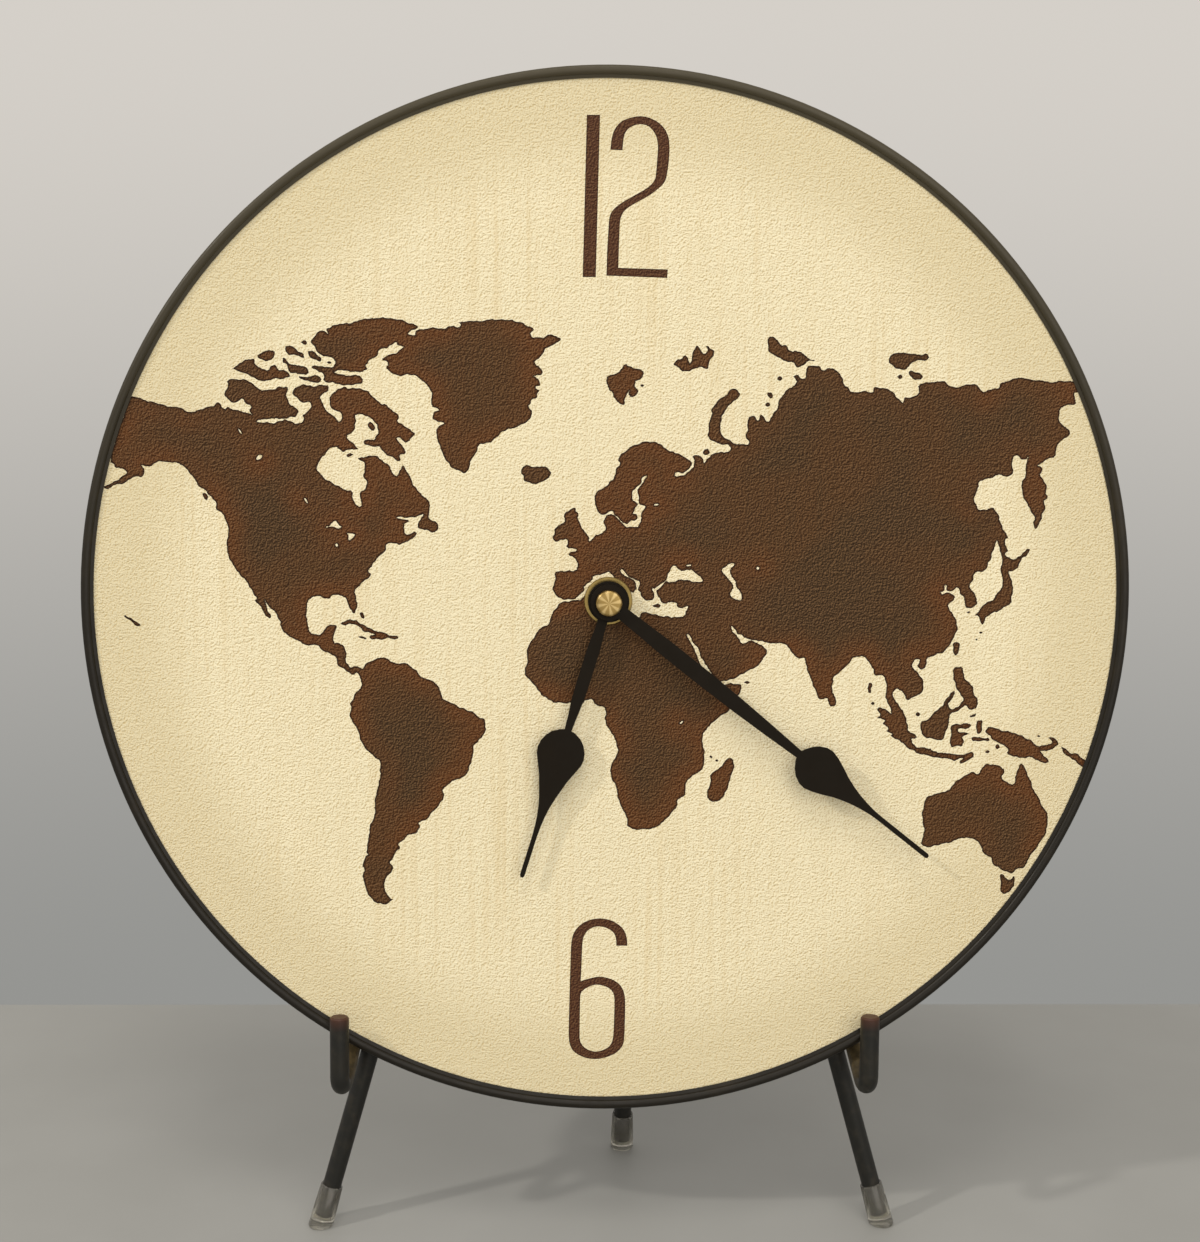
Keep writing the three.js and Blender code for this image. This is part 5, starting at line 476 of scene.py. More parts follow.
def brass_glinting(colours):
    """Pale brass with a painted highlight of eight rays from the middle."""
    # Painted highlight: the rays alternate bright and dull for the glint of turned brass, which
    # reads as a small star.
    surface = {"Metallic": 1.0, "Roughness": 0.36}
    made, tree, shader = start_material("brass_glint_rays_painted", surface)
    # Painted highlight: eight bright rays round the middle, alternating with dull ones.
    rays_round = 8
    place = add_node(tree, "ShaderNodeTexCoord").outputs["Object"]
    around = add_node(tree, "ShaderNodeTexGradient", {"Vector": place}, gradient_type="RADIAL")
    sockets = {0: around.outputs["Fac"], 1: rays_round * 2 * math.pi}
    swing = add_node(tree, "ShaderNodeMath", sockets, operation="MULTIPLY")
    wave = add_node(tree, "ShaderNodeMath", {0: swing.outputs[0]}, operation="SINE")
    sockets = {"Value": wave.outputs[0], "From Min": -0.4, "From Max": 0.9}
    rays = add_node(tree, "ShaderNodeMapRange", sockets, interpolation_type="SMOOTHSTEP")
    paint(tree, shader, linear("98804E"), (rays.outputs["Result"], colours.cap))
    grit(tree, shader, 0.5, 0.03, 0.4)
    return made


def vinyl_clear(colours):
    """Clear soft vinyl, dipped over the wire's end."""
    # Faintly milky: the wire shows grey through it, and its mouth and sole catch the light.
    surface = {"Transmission Weight": 0.96, "IOR": 1.5}
    made, tree, shader = start_material("vinyl_clear_dipped", surface)
    cloudy = patches(tree, 2.2, 0.3, 0.75, start=0.06, end=0.25, detail=3.0)
    tree.links.new(cloudy, shader.inputs["Roughness"])
    paint(tree, shader, colours.vinyl, (patches(tree, 3.0, 0.35, 0.7), linear("E6E2D2")))
    grit(tree, shader, 1.8, 0.06, 0.4)
    return made


def plain_finish(name, base, second, roughness, spot_mm, grit_mm, depth_mm, metallic=0.0):
    """A moulded, plated or painted finish with faint mottling and grit."""
    surface = {"Roughness": roughness, "Metallic": metallic}
    made, tree, shader = start_material(name, surface)
    mottled = patches(tree, spot_mm, 0.35, 0.7, detail=3.0)
    paint(tree, shader, linear(base), (mottled, linear(second)))
    grit(tree, shader, grit_mm, depth_mm, 0.4)
    return made


def dial_place(x_mm, u_mm, out_mm=0.0):
    """Point on the leaning clock from its place on the dial."""
    return HUB + (x_mm * RIGHT + u_mm * UP + out_mm * OUT) * MM


def add_piece(name, mesh, body, finish, replaced=(), place=None):
    """Links a mesh as a piece that rides a body and stands for CAD nodes."""
    piece = bpy.data.objects.new(name, mesh)
    bpy.context.scene.collection.objects.link(piece)
    mesh.materials.append(finish)
    if place is not None:
        piece.matrix_world = place
    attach(piece, body)
    if replaced:
        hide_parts(*replaced)
    return piece


def dress(names, finish, edge_mm=0.0):
    """Gives CAD nodes a finish, and broken edges where edge_mm is set."""
    for name in names:
        piece = NODES[name]
        piece.data.materials.clear()
        piece.data.materials.append(finish)
        if edge_mm:
            weld = piece.modifiers.new("weld", "WELD")
            weld.merge_threshold = 1e-6
            edge = piece.modifiers.new("edge", "BEVEL")
            edge.width = edge_mm * MM
            edge.segments = 2
            edge.limit_method = "ANGLE"
            edge.angle_limit = math.radians(40)


def smooth(mesh, sharp_deg):
    """Shades a mesh round, with creases over sharp_deg."""
    mesh.polygons.foreach_set("use_smooth", [True] * len(mesh.polygons))
    mesh.set_sharp_from_angle(angle=math.radians(sharp_deg))


def closed_mesh(name, shape):
    """Turns the faces of a closed shape outwards and keeps it as a mesh."""
    bmesh.ops.recalc_face_normals(shape, faces=shape.faces)
    mesh = bpy.data.meshes.new(name)
    shape.to_mesh(mesh)
    shape.free()
    return mesh


def lathe(name, profile, sides, place):
    """Turns a closed profile of (radius, height) about Z, then puts it at place."""
    shape = bmesh.new()
    rings = []
    for radius, height in profile:
        if radius == 0:
            rings.append([shape.verts.new(place @ Vector((0, 0, height)))] * sides)
            continue
        ring = []
        for step in range(sides):
            angle = 2 * math.pi * step / sides
            spot = Vector((radius * math.cos(angle), radius * math.sin(angle), height))
            ring.append(shape.verts.new(place @ spot))
        rings.append(ring)
    count = len(rings)
    open_ended = profile[0][0] == 0 and profile[-1][0] == 0
    for index in range(count - 1 if open_ended else count):
        first, second = rings[index], rings[(index + 1) % count]
        for step in range(sides):
            after = (step + 1) % sides
            corners = [first[step], first[after], second[after], second[step]]
            shape.faces.new(list(dict.fromkeys(corners)))
    return closed_mesh(name, shape)


def bent_path(corners, bends, steps):
    """Straight runs through corners, with an arc of each bend's radius at the inner ones."""
    path = [corners[0]]
    for before, corner, after, bend in zip(corners, corners[1:], corners[2:], bends):
        into = (corner - before).normalized()
        away = (after - corner).normalized()
        turn = into.angle(away)
        run = bend * math.tan(turn / 2)
        start = corner - into * run
        inward = (away - into * into.dot(away)).normalized()
        centre = start + inward * bend
        for step in range(steps + 1):
            angle = turn * step / steps
            path.append(centre - inward * bend * math.cos(angle) + into * bend * math.sin(angle))
    path.append(corners[-1])
    return path


def split_run(start, end, count):
    """Evenly spaced points from start to end."""
    return [start.lerp(end, step / count) for step in range(count + 1)]


def wire_mesh(name, path, radii, wear, sides=32, chamfer=0.0005):
    """Round wire along a path, with broken ends and each ring's wear kept for its finish."""
    first = (path[1] - path[0]).normalized()
    last = (path[-1] - path[-2]).normalized()
    spots = [path[0], path[0] + first * chamfer, *path[1:-1], path[-1] - last * chamfer, path[-1]]
    wide = [radii[0] - chamfer, *radii, radii[-1] - chamfer]
    rows = [wear[0], *wear, wear[-1]]
    shape = bmesh.new()
    layer = shape.verts.layers.float.new("wear")
    side = first.orthogonal().normalized()
    rings = []
    for index, spot in enumerate(spots):
        before = spots[max(index - 1, 0)]
        after = spots[min(index + 1, len(spots) - 1)]
        ahead = (after - before).normalized()
        side = (side - ahead * side.dot(ahead)).normalized()
        up = ahead.cross(side)
        ring = []
        for step in range(sides):
            angle = 2 * math.pi * step / sides
            offset = side * math.cos(angle) + up * math.sin(angle)
            corner = shape.verts.new(spot + offset * wide[index])
            corner[layer] = rows[index]
            ring.append(corner)
        rings.append(ring)
    for lower, upper in zip(rings, rings[1:]):
        for step in range(sides):
            after = (step + 1) % sides
            shape.faces.new((lower[step], lower[after], upper[after], upper[step]))
    shape.faces.new(list(reversed(rings[0])))
    shape.faces.new(rings[-1])
    mesh = closed_mesh(name, shape)
    smooth(mesh, 35)
    return mesh


def straight_ends(name):
    """Axis ends of a straight CAD rod, lower one first."""
    spots = [vertex.co.copy() for vertex in NODES[name].data.vertices]
    low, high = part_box(name)
    middle = (low.z + high.z) / 2
    ends = []
    for part in ([s for s in spots if s.z < middle], [s for s in spots if s.z >= middle]):
        around = {tuple(round(value, 6) for value in spot): spot for spot in part}
        ends.append(sum(around.values(), Vector()) / len(around))
    return ends


def front_outlines(name):
    """Closed outlines of a sheet's front face, as (x, u) on the dial in millimetres."""
    mesh = NODES[name].data
    places = []
    for vertex in mesh.vertices:
        offset = (vertex.co - HUB) / MM
        places.append((round(offset.dot(RIGHT), 3), round(offset.dot(UP), 3)))
    follow = {}
    for face in mesh.polygons:
        if face.normal.dot(OUT) < 0.99:
            continue
        ring = [places[index] for index in face.vertices]
        for start, end in zip(ring, ring[1:] + ring[:1]):
            if start in follow.get(end, ()):
                follow[end].remove(start)
            elif start != end:
                follow.setdefault(start, []).append(end)
    outlines = []
    while any(follow.values()):
        start = next(spot for spot, ends in follow.items() if ends)
        outline = [start]
        spot = follow[start].pop()
        while spot != start:
            outline.append(spot)
            spot = follow[spot].pop()
        outlines.append(np.array(outline))
    return outlines


def eased(outline, keep_deg):
    """Cuts an outline's corners once, leaving corners sharper than keep_deg as they are."""
    before = np.roll(outline, 1, axis=0)
    after = np.roll(outline, -1, axis=0)
    result = []
    for left, spot, right in zip(before, outline, after):
        into, away = spot - left, right - spot
        turn = abs(math.atan2(into[0] * away[1] - into[1] * away[0], into @ away))
        if turn > math.radians(keep_deg):
            result.append(spot)
        else:
            result.extend((spot - into * CORNER_CUT, spot + away * CORNER_CUT))
    return np.array(result)


def spaced(outline, gap):
    """Points along an outline no further apart than gap."""
    result = []
    for start, end in zip(outline, np.roll(outline, -1, axis=0)):
        count = max(1, math.ceil(np.linalg.norm(end - start) / gap))
        result.extend(start + (end - start) * step / count for step in range(count))
    return np.array(result)


def sideways(outline):
    """Unit steps to the right of an outline's run, one for each point."""
    along = np.roll(outline, -1, axis=0) - np.roll(outline, 1, axis=0)
    side = np.column_stack((along[:, 1], -along[:, 0]))
    return side / np.maximum(np.linalg.norm(side, axis=1), 1e-9)[:, None]


def ragged(outline, swing_mm):
    """Breaks a coast into small bays and heads, each about two millimetres long."""
    base = spaced(outline, COAST_STEP)
    swing = []
    for x, u in base.tolist():
        near = Vector((x / BAY_LENGTH, u / BAY_LENGTH, 3.7))
        swing.append(swing_mm * (noise_at(near) + 0.5 * noise_at(near * 2.1)))
    return base + sideways(base) * np.array(swing)[:, None]


def within(spots, outline):
    """Which of many points lie inside one closed outline."""
    found = np.zeros(len(spots), bool)
    low, high = outline.min(0), outline.max(0)
    near = np.where(np.all((spots >= low) & (spots <= high), axis=1))[0]
    x, y = spots[near, 0], spots[near, 1]
    hit = np.zeros(len(near), bool)
    for (x0, y0), (x1, y1) in zip(outline, np.roll(outline, -1, axis=0)):
        if y0 != y1:
            crossing = (y0 > y) != (y1 > y)
            hit ^= crossing & (x < x0 + (y - y0) * (x1 - x0) / (y1 - y0))
    found[near] = hit
    return found


def on_land(spots, cuts):
    """Which points lie inside an odd number of cuts, so that lakes and islands count."""
    odd = np.zeros(len(spots), bool)
    for outline in cuts:
        odd ^= within(spots, outline)
    return odd


def circle(radius_mm, sides):
    """Outline of a circle round the hub."""
    angles = np.linspace(0, 2 * math.pi, sides, endpoint=False)
    return np.column_stack((np.cos(angles), np.sin(angles))) * radius_mm


def is_figure(outline):
    """True for the strokes of the numerals, which stand above and under the map."""
    heights = outline[:, 1]
    slim = abs(outline[:, 0]).max() < FIGURE_HALF_WIDTH
    return slim and (heights.min() > FIGURE_ABOVE or heights.max() < FIGURE_UNDER)


def dial_cuts(sizes):
    """Outlines of all that is cut through the veneer, and those of the numerals alone."""
    found = []
    for outline in front_outlines("dial_face"):
        if SHAFT_REACH < np.linalg.norm(outline, axis=1).max() < EDGE_REACH:
            found.append(outline)
    for name in INLAYS:
        found.extend(front_outlines(name))
    figures = [eased(o, 60) for o in found if is_figure(o)]
    coasts = [ragged(eased(o, 120), COAST_SWING) for o in found if not is_figure(o)]
    turn = Matrix.Rotation(sizes.dial_turn, 2)
    lakes = [eased(np.array([turn @ Vector(spot) for spot in lake]), 150) for lake in LAKES]
    return coasts + figures + lakes, figures


def coast_finder(cuts):
    """Search tree that gives the distance to the nearest cut."""
    samples = np.concatenate([spaced(o, 0.3) for o in cuts])
    tree = kdtree.KDTree(len(samples))
    for index, spot in enumerate(samples):
        tree.insert((*spot, 0.0), index)
    tree.balance()
    return tree


def inland_points(sizes, cuts, finder):
    """Extra points inland, which carry the distance to the coast for the scorched edge."""
    reach = sizes.dial_radius / MM
    rows = [np.mgrid[-reach:reach:INLAND_PITCH, -reach:reach:INLAND_PITCH].reshape(2, -1).T]
    for outline in cuts:
        base = spaced(outline, INLAND_STEP)
        side = sideways(base)
        for depth in INLAND_ROWS:
            rows.extend((base - side * depth, base + side * depth))
    spots = np.concatenate(rows)
    land = spots[on_land(spots, cuts)]
    return [spot for spot in land if finder.find((*spot, 0.0))[2] > INLAND_CLEAR]


def dial_sheets(sizes):
    """Triangles of the dial's face, sorted into veneer, land and numerals."""
    cuts, figures = dial_cuts(sizes)
    finder = coast_finder(cuts)
    sheet, hole = sizes.sheet_radius / MM, sizes.shaft_hole / MM
    corners, edges = [], []
    for outline in (circle(sheet, sizes.round_sides), circle(hole, 48), *cuts):
        start = len(corners)
        count = len(outline)
        corners.extend(Vector(spot) for spot in outline)
        edges.extend((start + step, start + (step + 1) % count) for step in range(count))
    corners.extend(Vector(spot) for spot in inland_points(sizes, cuts, finder))
    spots, _, faces, *_ = geometry.delaunay_2d_cdt(corners, edges, [], 0, 1e-4)
    flat = np.array([tuple(spot) for spot in spots])
    faces = np.array(faces)
    middles = flat[faces].mean(axis=1)
    radius = np.linalg.norm(middles, axis=1)
    kept = (radius > hole) & (radius < sheet)
    brown = on_land(middles, cuts)
    stroke = np.zeros(len(middles), bool)
    for outline in figures:
        stroke |= within(middles, outline)
    coast = np.array([finder.find((*spot, 0.0))[2] for spot in flat])
    groups = {
        "veneer": faces[kept & ~brown],
        "land": faces[kept & brown & ~stroke],
        "figures": faces[kept & brown & stroke],
    }
    return flat, coast, groups


def sheet_mesh(name, flat, coast, faces, out_mm):
    """A sheet of dial triangles at one level, with each point's distance to the coast."""
    used, index = np.unique(faces, return_inverse=True)
    mesh = bpy.data.meshes.new(name)
    spots = [dial_place(x, u, out_mm) for x, u in flat[used].tolist()]
    mesh.from_pydata(spots, [], index.reshape(-1, 3).tolist())
    layer = mesh.attributes.new("coast", "FLOAT", "POINT")
    layer.data.foreach_set("value", coast[used].astype(np.float32))
    mesh.validate()
    return mesh


def thicken(piece, thickness):
    """Backs a sheet so that it is a closed plate."""
    plate = piece.modifiers.new("plate", "SOLIDIFY")
    plate.thickness = thickness
    plate.offset = -1.0
    plate.use_even_offset = False


class CLOCK_OT_stage(bpy.types.Operator):
    """Camera, pale table and soft light"""

    bl_idname = "clock.stage"
    bl_label = "Stage"

    def execute(self, context):
        scene = context.scene
        lens = bpy.data.cameras.new("camera")
        lens.sensor_fit = "HORIZONTAL"
        lens.sensor_width = CAMERA_SENSOR_MM
        lens.lens = CAMERA_LENS_MM
        lens.clip_start = 0.01
        camera = bpy.data.objects.new("camera", lens)
        camera.location = HUB + CAMERA_FROM_HUB
        level = Euler((math.radians(90.0) - CAMERA_DIP, 0.0, CAMERA_TURN)).to_matrix()
        camera.rotation_euler = (level @ Matrix.Rotation(CAMERA_ROLL, 3, "Z")).to_euler()
        scene.collection.objects.link(camera)
        scene.camera = camera
        scene.view_settings.view_transform = "Standard"

        table = bpy.data.meshes.new("table")
        back, front, wide = 0.1396, -1.2, 1.3
        corners = ((-wide, front, 0), (wide, front, 0), (wide, back, 0), (-wide, back, 0))
        table.from_pydata(corners, [], [(0, 1, 2, 3)])
        top = bpy.data.objects.new("table", table)
        scene.collection.objects.link(top)
        table.materials.append(self.table_paint(scene.clock_colours))

        self.studio_air(scene)
        for lamp in LAMPS:
            self.lamp(scene, *lamp)
        return {"FINISHED"}

    def table_paint(self, colours):
        """Matt painted board: pale grey, with faint cloudy brushing."""
        made, tree, shader = start_material("board_painted_pale_grey", {"Roughness": 0.55})
        brushed = patches(tree, 60.0, 0.3, 0.7, end=0.35, detail=4.0)
        paint(tree, shader, colours.table, (brushed, linear("8B8C89")))
        return made

    def studio_air(self, scene):
        """Pale grey surround, lighter overhead."""
        world = bpy.data.worlds.new("studio")
        scene.world = world
        world.use_nodes = True
        tree = world.node_tree
        tree.nodes.clear()
        low, high = linear("959592"), linear("D5D0C9")
        ray = add_node(tree, "ShaderNodeTexCoord").outputs["Generated"]
        height = add_node(tree, "ShaderNodeSeparateXYZ", {"Vector": ray}).outputs["Z"]
        sockets = {"Value": height, "From Min": -0.42, "From Max": 0.06}
        share = add_node(tree, "ShaderNodeMapRange", sockets, interpolation_type="SMOOTHSTEP")
        sockets = {MIX_SHARE: share.outputs["Result"], MIX_FROM: low, MIX_TO: high}
        shade = add_node(tree, "ShaderNodeMix", sockets, data_type="RGBA").outputs[MIX_RESULT]
        air = add_node(tree, "ShaderNodeBackground", {"Color": shade, "Strength": 1.0})
        add_node(tree, "ShaderNodeOutputWorld", {"Surface": air.outputs[0]})

    def lamp(self, scene, name, place, size, power):
        """Square soft light aimed at the dial."""
        data = bpy.data.lights.new(name, "AREA")
        data.size = size
        data.energy = power
        data.color = linear("FFF8EE")[:3]
        light = bpy.data.objects.new(name, data)
        light.location = place
        light.rotation_euler = (HUB - Vector(place)).to_track_quat("-Z", "Y").to_euler()
        scene.collection.objects.link(light)


class CLOCK_OT_dial(bpy.types.Operator):
    """Veneer, land and numerals of the dial"""

    bl_idname = "clock.dial"
    bl_label = "Dial"

    def execute(self, context):
        sizes = context.scene.clock_sizes
        colours = context.scene.clock_colours
        flat, coast, groups = dial_sheets(sizes)
        sunk = -0.04
        veneer = ("dial_face", *INLAYS)
        rows = (
            ("dial_veneer", "veneer", 0.0, veneer_maple, "ply_cream", veneer),
            ("land_inlay", "land", sunk, print_walnut, "ply_brown", ("land_ply",)),
            ("figure_inlay", "figures", sunk, print_figure, "ply_brown", ()),
        )
        for name, group, level, finish, slot, replaced in rows:
            mesh = sheet_mesh(name, flat, coast, groups[group], level)
            piece = add_piece(name, mesh, "clock_head", finish(colours), replaced)
            thicken(piece, sizes.sheet)
        return {"FINISHED"}


class CLOCK_OT_rim(bpy.types.Operator):
    """Rounded black rim and the board behind the dial"""

    bl_idname = "clock.rim"
    bl_label = "Rim and board"

    def execute(self, context):
        sizes = context.scene.clock_sizes
        clear, lift, hem, steps = 0.02 * MM, 0.3 * MM, 0.6 * MM, 16
        outer = sizes.disc_radius - clear
        half = (outer - sizes.dial_radius - sizes.rim_bevel) / 2
        profile = [(sizes.dial_radius, lift)]
        for step in range(steps + 1):
            angle = math.pi - math.pi * step / steps
            height = sizes.rim_spring + sizes.rim_bead * math.sin(angle)
            profile.append((outer - half + half * math.cos(angle), height))
        back, inside = -sizes.rim_back, outer - sizes.rim_skirt
        profile += [(outer, back + hem), (outer - hem, back), (inside, back), (inside, lift)]
        mesh = lathe("rim_bead", profile, sizes.round_sides, HUB_PLACE)
        smooth(mesh, 40)
        satin = rim_lacquer(context.scene.clock_colours)
        add_piece("rim_bead", mesh, "clock_head", satin, ("bezel_ring",))
        # Fibreboard under black paint: matt, with the board's faint fibre standing through.
        black = plain_finish("fibreboard_painted_black", "33302C", "3D3934", 0.7, 8, 0.7, 0.08)
        dress(("backing_board",), black, 0.4)
        return {"FINISHED"}


class CLOCK_OT_hands(bpy.types.Operator):
    """Hands, washer, nut and cap at the hub"""

    bl_idname = "clock.hands"
    bl_label = "Hands and hub"

    def execute(self, context):
        sizes = context.scene.clock_sizes
        colours = context.scene.clock_colours
        dress(("hour_hand", "minute_hand"), hand_lacquer(colours), 0.2)
        brass = brass_turned(colours)
        dress(("hex_nut",), brass, 0.2)
        self.turned("washer_ring", self.washer(), "clock_head", brass, "dial_washer")
        glinting = brass_glinting(colours)
        self.turned("cap_nut_dome", self.cap_nut(sizes), "minute_hand", glinting, "cap_nut")
        return {"FINISHED"}

    def washer(self):
        """Half section of the washer in millimetres, with its edges broken."""
        bore, reach, low, top = 4.3, 7.0, 0.1, 0.9
        edge, brow = 0.15, 0.18
        return (
            (bore, low),
            (reach - edge, low),
            (reach, low + edge),
            (reach, top - brow),
            (reach - brow, top),
            (bore + edge, top),
            (bore, top - edge),
        )

    def cap_nut(self, sizes):
        """Half section of the cap nut in millimetres, rounded over at its top."""
        low, top, edge, crown, flat = 6.3, 9.1, 0.15, 0.7, 1.2
        reach = sizes.nut_cap / MM
        profile = [(0, low), (reach - edge, low), (reach, low + edge)]
        for degrees in range(90, -1, -15):
            angle = math.radians(degrees)
            radius = reach - crown + crown * math.sin(angle)
            profile.append((radius, top - crown + crown * math.cos(angle)))
        return (*profile, (flat, top), (0, top))

    def turned(self, name, profile, body, finish, node):
        """A lathe-turned piece with its own axis along the hub."""
        mesh = lathe(name, [(r * MM, h * MM) for r, h in profile], 64, Matrix.Identity(4))
        smooth(mesh, 38)
        add_piece(name, mesh, body, finish, (node,), HUB_PLACE)


class CLOCK_OT_movement(bpy.types.Operator):
    """Case, cell, wheels and setting knob of the movement"""

    bl_idname = "clock.movement"
    bl_label = "Movement"

    def execute(self, context):
        # Black ABS with the fine spark-eroded texture of a moulded case.
        case = plain_finish("abs_moulded_black", "1B1B1D", "232325", 0.5, 12, 0.5, 0.06)
        dress(("movement_case", "movement_cover"), case, 0.35)
        # Grey acetal: a slightly waxy knob.
        knob = plain_finish("acetal_moulded_grey", "66666A", "5C5C60", 0.4, 6, 0.6, 0.04)
        dress(("setting_knob",), knob, 0.2)
        # White acetal wheels.
        wheel = plain_finish("acetal_moulded_white", "E4E1D6", "D8D4C6", 0.38, 4, 0.5, 0.03)
        wheels = ("centre_wheel", "third_wheel", "seconds_wheel", "fifth_wheel", "rotor")
        dress((*wheels, "minute_arbor", "minute_wheel", "hour_wheel"), wheel)
        # Moulded rubber: dull and nearly black.
        rubber = plain_finish("rubber_moulded_black", "161616", "1E1E1D", 0.85, 3, 0.5, 0.05)
        dress(("rubber_gasket",), rubber, 0.15)
        # Shrunk plastic jacket of a plain cell.
        jacket = plain_finish("pvc_shrunk_slate", "3E4A58", "465260", 0.35, 15, 1.0, 0.03)
        dress(("battery",), jacket, 0.3)
        # Nickel-plated spring steel and laminated stator iron.
        nickel = plain_finish("steel_nickel_plated", "B9B6AE", "A5A29A", 0.32, 3, 0.4, 0.02, 1.0)
        dress(("contact_positive", "contact_negative", "stator"), nickel)
        # Enamelled copper wire in close turns.
        copper = plain_finish("copper_wire_enamelled", "B26A3E", "94552F", 0.35, 2, 0.3, 0.1, 1.0)
        dress(("coil",), copper, 0.2)
        # Green solder mask over glass laminate.
        laminate = plain_finish("laminate_solder_mask", "1F4A2B", "193D24", 0.4, 4, 0.5, 0.03)
        dress(("circuit_board",), laminate)
        return {"FINISHED"}


class CLOCK_OT_easel(bpy.types.Operator):
    """Wire legs, hooks, top bar and hinge"""

    bl_idname = "clock.easel"
    bl_label = "Easel"

    def execute(self, context):
        sizes = context.scene.clock_sizes
        wire = wire_lacquer(context.scene.clock_colours)
        for side, label in ((-1, "left"), (1, "right")):
            node = f"front_leg_{label}"
            path = split_run(*straight_ends(node), 24)
            self.rod(sizes, wire, f"leg_{label}", path, "stand", node)
            self.hook(sizes, wire, side, label)
        low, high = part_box("top_bar")
        middle = (low + high) / 2
        ends = Vector((low.x, middle.y, middle.z)), Vector((high.x, middle.y, middle.z))
        self.rod(sizes, wire, "bar", split_run(*ends, 12), "stand", "top_bar")
        path = split_run(*straight_ends("rear_leg"), 24)
        brown_run = 0.006
        brown = [max(0.0, 1.0 - (spot - path[-1]).length / brown_run) for spot in path]
        self.rod(sizes, wire, "leg_rear", path, "rear_leg", "rear_leg", brown)
        dress(("hinge_sleeve", "stop_pin"), wire, 0.25)
        return {"FINISHED"}

    def rod(self, sizes, wire, name, path, body, node, wear=None):
        """A straight wire in place of a CAD rod."""
        mesh = wire_mesh(name, path, [sizes.rod] * len(path), wear or [0.0] * len(path))
        add_piece(name, mesh, body, wire, (node,))

    def hook(self, sizes, wire, side, label):
        """One hook: out from the leg, down under the rim and up before it."""
        root_x, root_u = sizes.hook_root_x / MM, -sizes.hook_root_u / MM
        toe_x = root_x + sizes.hook_flare / MM
        toe_u = root_u - sizes.hook_dip / MM
        start = -sizes.hook_start / MM
        reach = sizes.prong_reach / MM
        corners = [
            dial_place(side * root_x, root_u, start),
            dial_place(side * root_x, root_u, start + sizes.hook_neck / MM),
            dial_place(side * toe_x, toe_u, reach),
            dial_place(side * toe_x, toe_u + sizes.prong / MM, reach),
        ]
        bent = bent_path(corners, (sizes.root_bend, sizes.hook_bend), 12)
        path = []
        for before, after in zip(bent, bent[1:]):
            path.extend(split_run(before, after, math.ceil((after - before).length / MM))[:-1])
        path.append(bent[-1])
        # Brass runs out in a bead where the hook passes the leg and stains the run before it,
        # and the tip is rubbed. All in millimetres from the hook's root or its tip.
        bead_height, bead_at, bead_width = 0.6, 2.8, 2.0
        stain_end, stain_fade, rubbed_run = 23.0, 13.0, 4.0
        radii, wear = [], []
        for spot in path:
            far = (spot - corners[0]).length / MM
            bead = bead_height * math.exp(-(((far - bead_at) / bead_width) ** 2))
            radii.append(sizes.hook + bead * MM)
            stain = min(1.0, max(0.0, (stain_end - far) / stain_fade))
            rubbed = max(0.0, 1.0 - (spot - corners[-1]).length / MM / rubbed_run)
            wear.append(stain - rubbed)
        mesh = wire_mesh(f"prong_{label}", path, radii, wear)
        add_piece(f"prong_{label}", mesh, "stand", wire, (f"hook_{label}",))


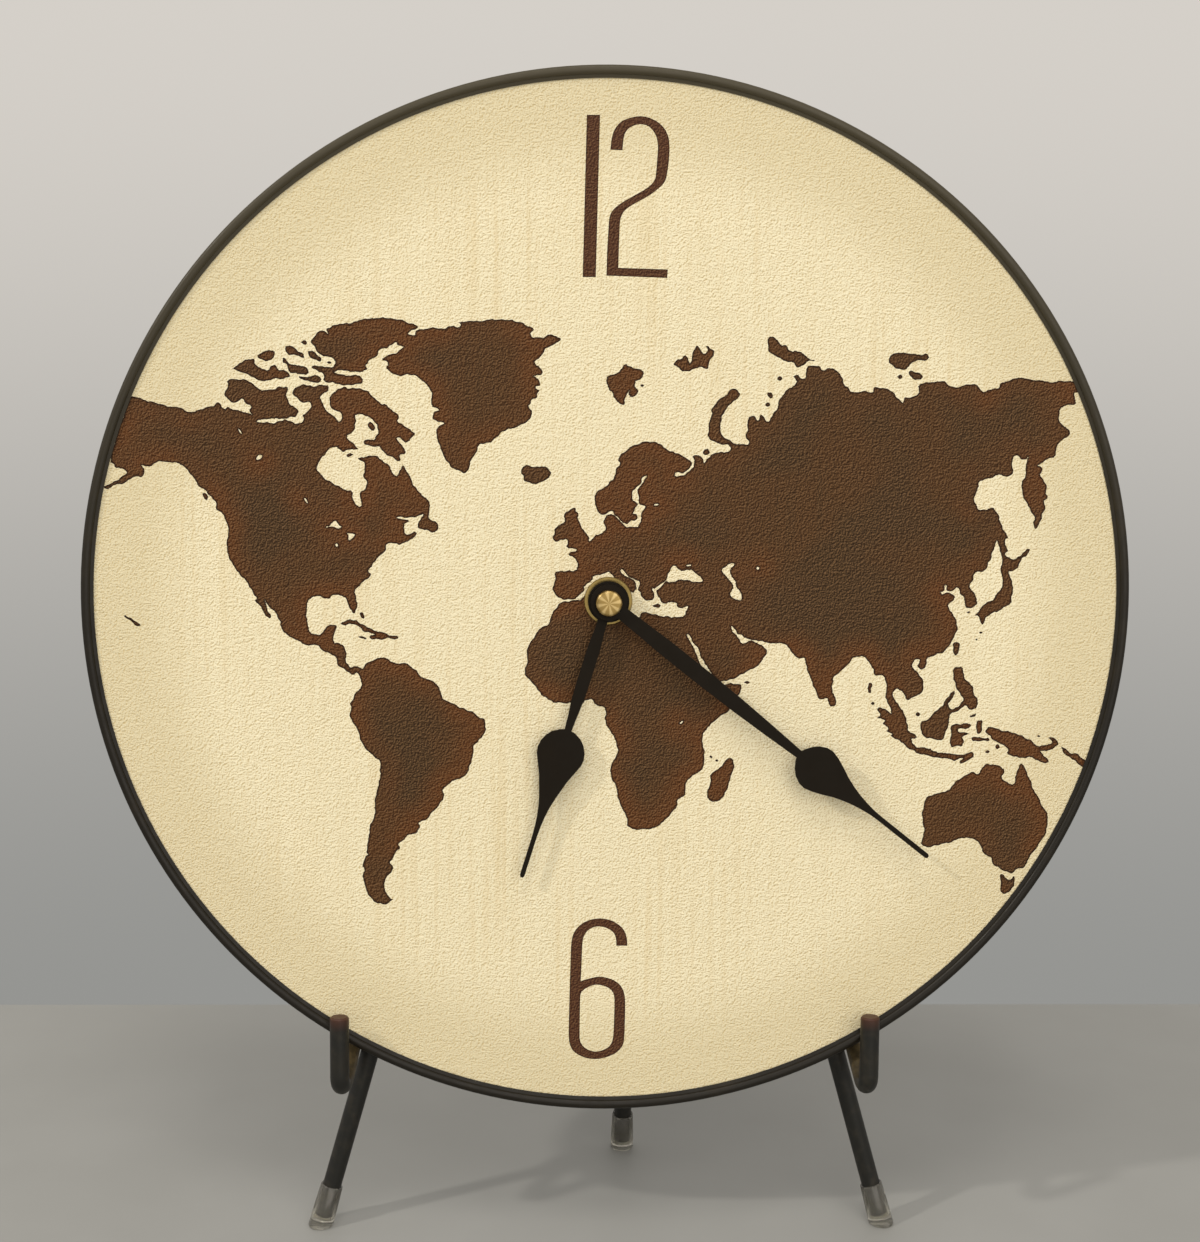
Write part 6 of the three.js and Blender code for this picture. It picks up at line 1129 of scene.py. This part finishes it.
class CLOCK_OT_feet(bpy.types.Operator):
    """Clear caps on the three feet"""

    bl_idname = "clock.feet"
    bl_label = "Feet"

    def execute(self, context):
        sizes = context.scene.clock_sizes
        vinyl = vinyl_clear(context.scene.clock_colours)
        rows = (
            ("left", "front_leg_left", "stand"),
            ("right", "front_leg_right", "stand"),
            ("rear", "rear_leg", "rear_leg"),
        )
        for label, leg, body in rows:
            low, high = straight_ends(leg)
            axis = (high - low).normalized()
            floor = low - axis * (low.z / axis.z)
            self.cap(sizes, vinyl, label, body, floor, axis)
        return {"FINISHED"}

    def cap(self, sizes, vinyl, label, body, floor, axis):
        """A tapered cap cut level with the floor, with a dished bottom under the wire."""
        slip, lip, sole_round = 0.1 * MM, 0.15 * MM, 0.7 * MM
        dish_ring, dish_edge, dish_middle = 0.6 * MM, 0.25 * MM, 0.35 * MM
        bore = sizes.rod + slip
        profile = [
            (0, -sizes.cap_foot),
            (sizes.cap_foot, -sizes.cap_foot),
            (sizes.cap_foot, sizes.cap_sole),
            (sizes.cap_mouth, sizes.cap_length - lip),
            (sizes.cap_mouth - lip, sizes.cap_length),
            (bore, sizes.cap_length),
            (bore, sizes.cap_sole),
            (bore - dish_ring, sizes.cap_sole - dish_edge),
            (0, sizes.cap_sole - dish_middle),
        ]
        place = Matrix.Translation(floor) @ axis.to_track_quat("Z", "Y").to_matrix().to_4x4()
        mesh = lathe(f"cap_{label}", profile, 48, place)
        shape = bmesh.new()
        shape.from_mesh(mesh)
        every = [*shape.verts, *shape.edges, *shape.faces]
        bmesh.ops.bisect_plane(
            shape, geom=every, plane_co=(0, 0, 0), plane_no=(0, 0, 1), clear_inner=True
        )
        rim = [edge for edge in shape.edges if edge.is_boundary]
        bmesh.ops.contextual_create(shape, geom=rim)
        sole = [e for e in shape.edges if all(abs(v.co.z) < 1e-6 for v in e.verts)]
        bmesh.ops.bevel(
            shape, geom=sole, offset=sole_round, segments=4, profile=0.5, affect="EDGES"
        )
        bmesh.ops.recalc_face_normals(shape, faces=shape.faces)
        shape.to_mesh(mesh)
        shape.free()
        smooth(mesh, 50)
        add_piece(f"cap_{label}", mesh, body, vinyl, (f"foot_cap_{label}",))


class CLOCK_PT_pieces(bpy.types.Panel):
    """Pieces of the clock and what can be changed on them"""

    bl_idname = "CLOCK_PT_pieces"
    bl_label = "World map clock"
    bl_space_type = "VIEW_3D"
    bl_region_type = "UI"
    bl_category = "Clock"

    def draw(self, context):
        for kind in OPERATORS:
            self.layout.operator(kind.bl_idname)
        for group in (context.scene.clock_sizes, context.scene.clock_colours):
            for field in group.__annotations__:
                self.layout.prop(group, field)


OPERATORS = (
    CLOCK_OT_stage,
    CLOCK_OT_dial,
    CLOCK_OT_rim,
    CLOCK_OT_hands,
    CLOCK_OT_movement,
    CLOCK_OT_easel,
    CLOCK_OT_feet,
)
CLASSES = (ClockSizes, ClockColours, *OPERATORS, CLOCK_PT_pieces)


def register():
    """Adds the classes and the clock's settings."""
    for kind in CLASSES:
        bpy.utils.register_class(kind)
    bpy.types.Scene.clock_sizes = PointerProperty(type=ClockSizes)
    bpy.types.Scene.clock_colours = PointerProperty(type=ClockColours)


def unregister():
    """Takes them out again."""
    del bpy.types.Scene.clock_colours
    del bpy.types.Scene.clock_sizes
    for kind in reversed(CLASSES):
        bpy.utils.unregister_class(kind)


def main():
    """Builds every piece in order."""
    register()
    bpy.ops.clock.stage()
    bpy.ops.clock.dial()
    bpy.ops.clock.rim()
    bpy.ops.clock.hands()
    bpy.ops.clock.movement()
    bpy.ops.clock.easel()
    bpy.ops.clock.feet()


if __name__ == "__main__":
    main()
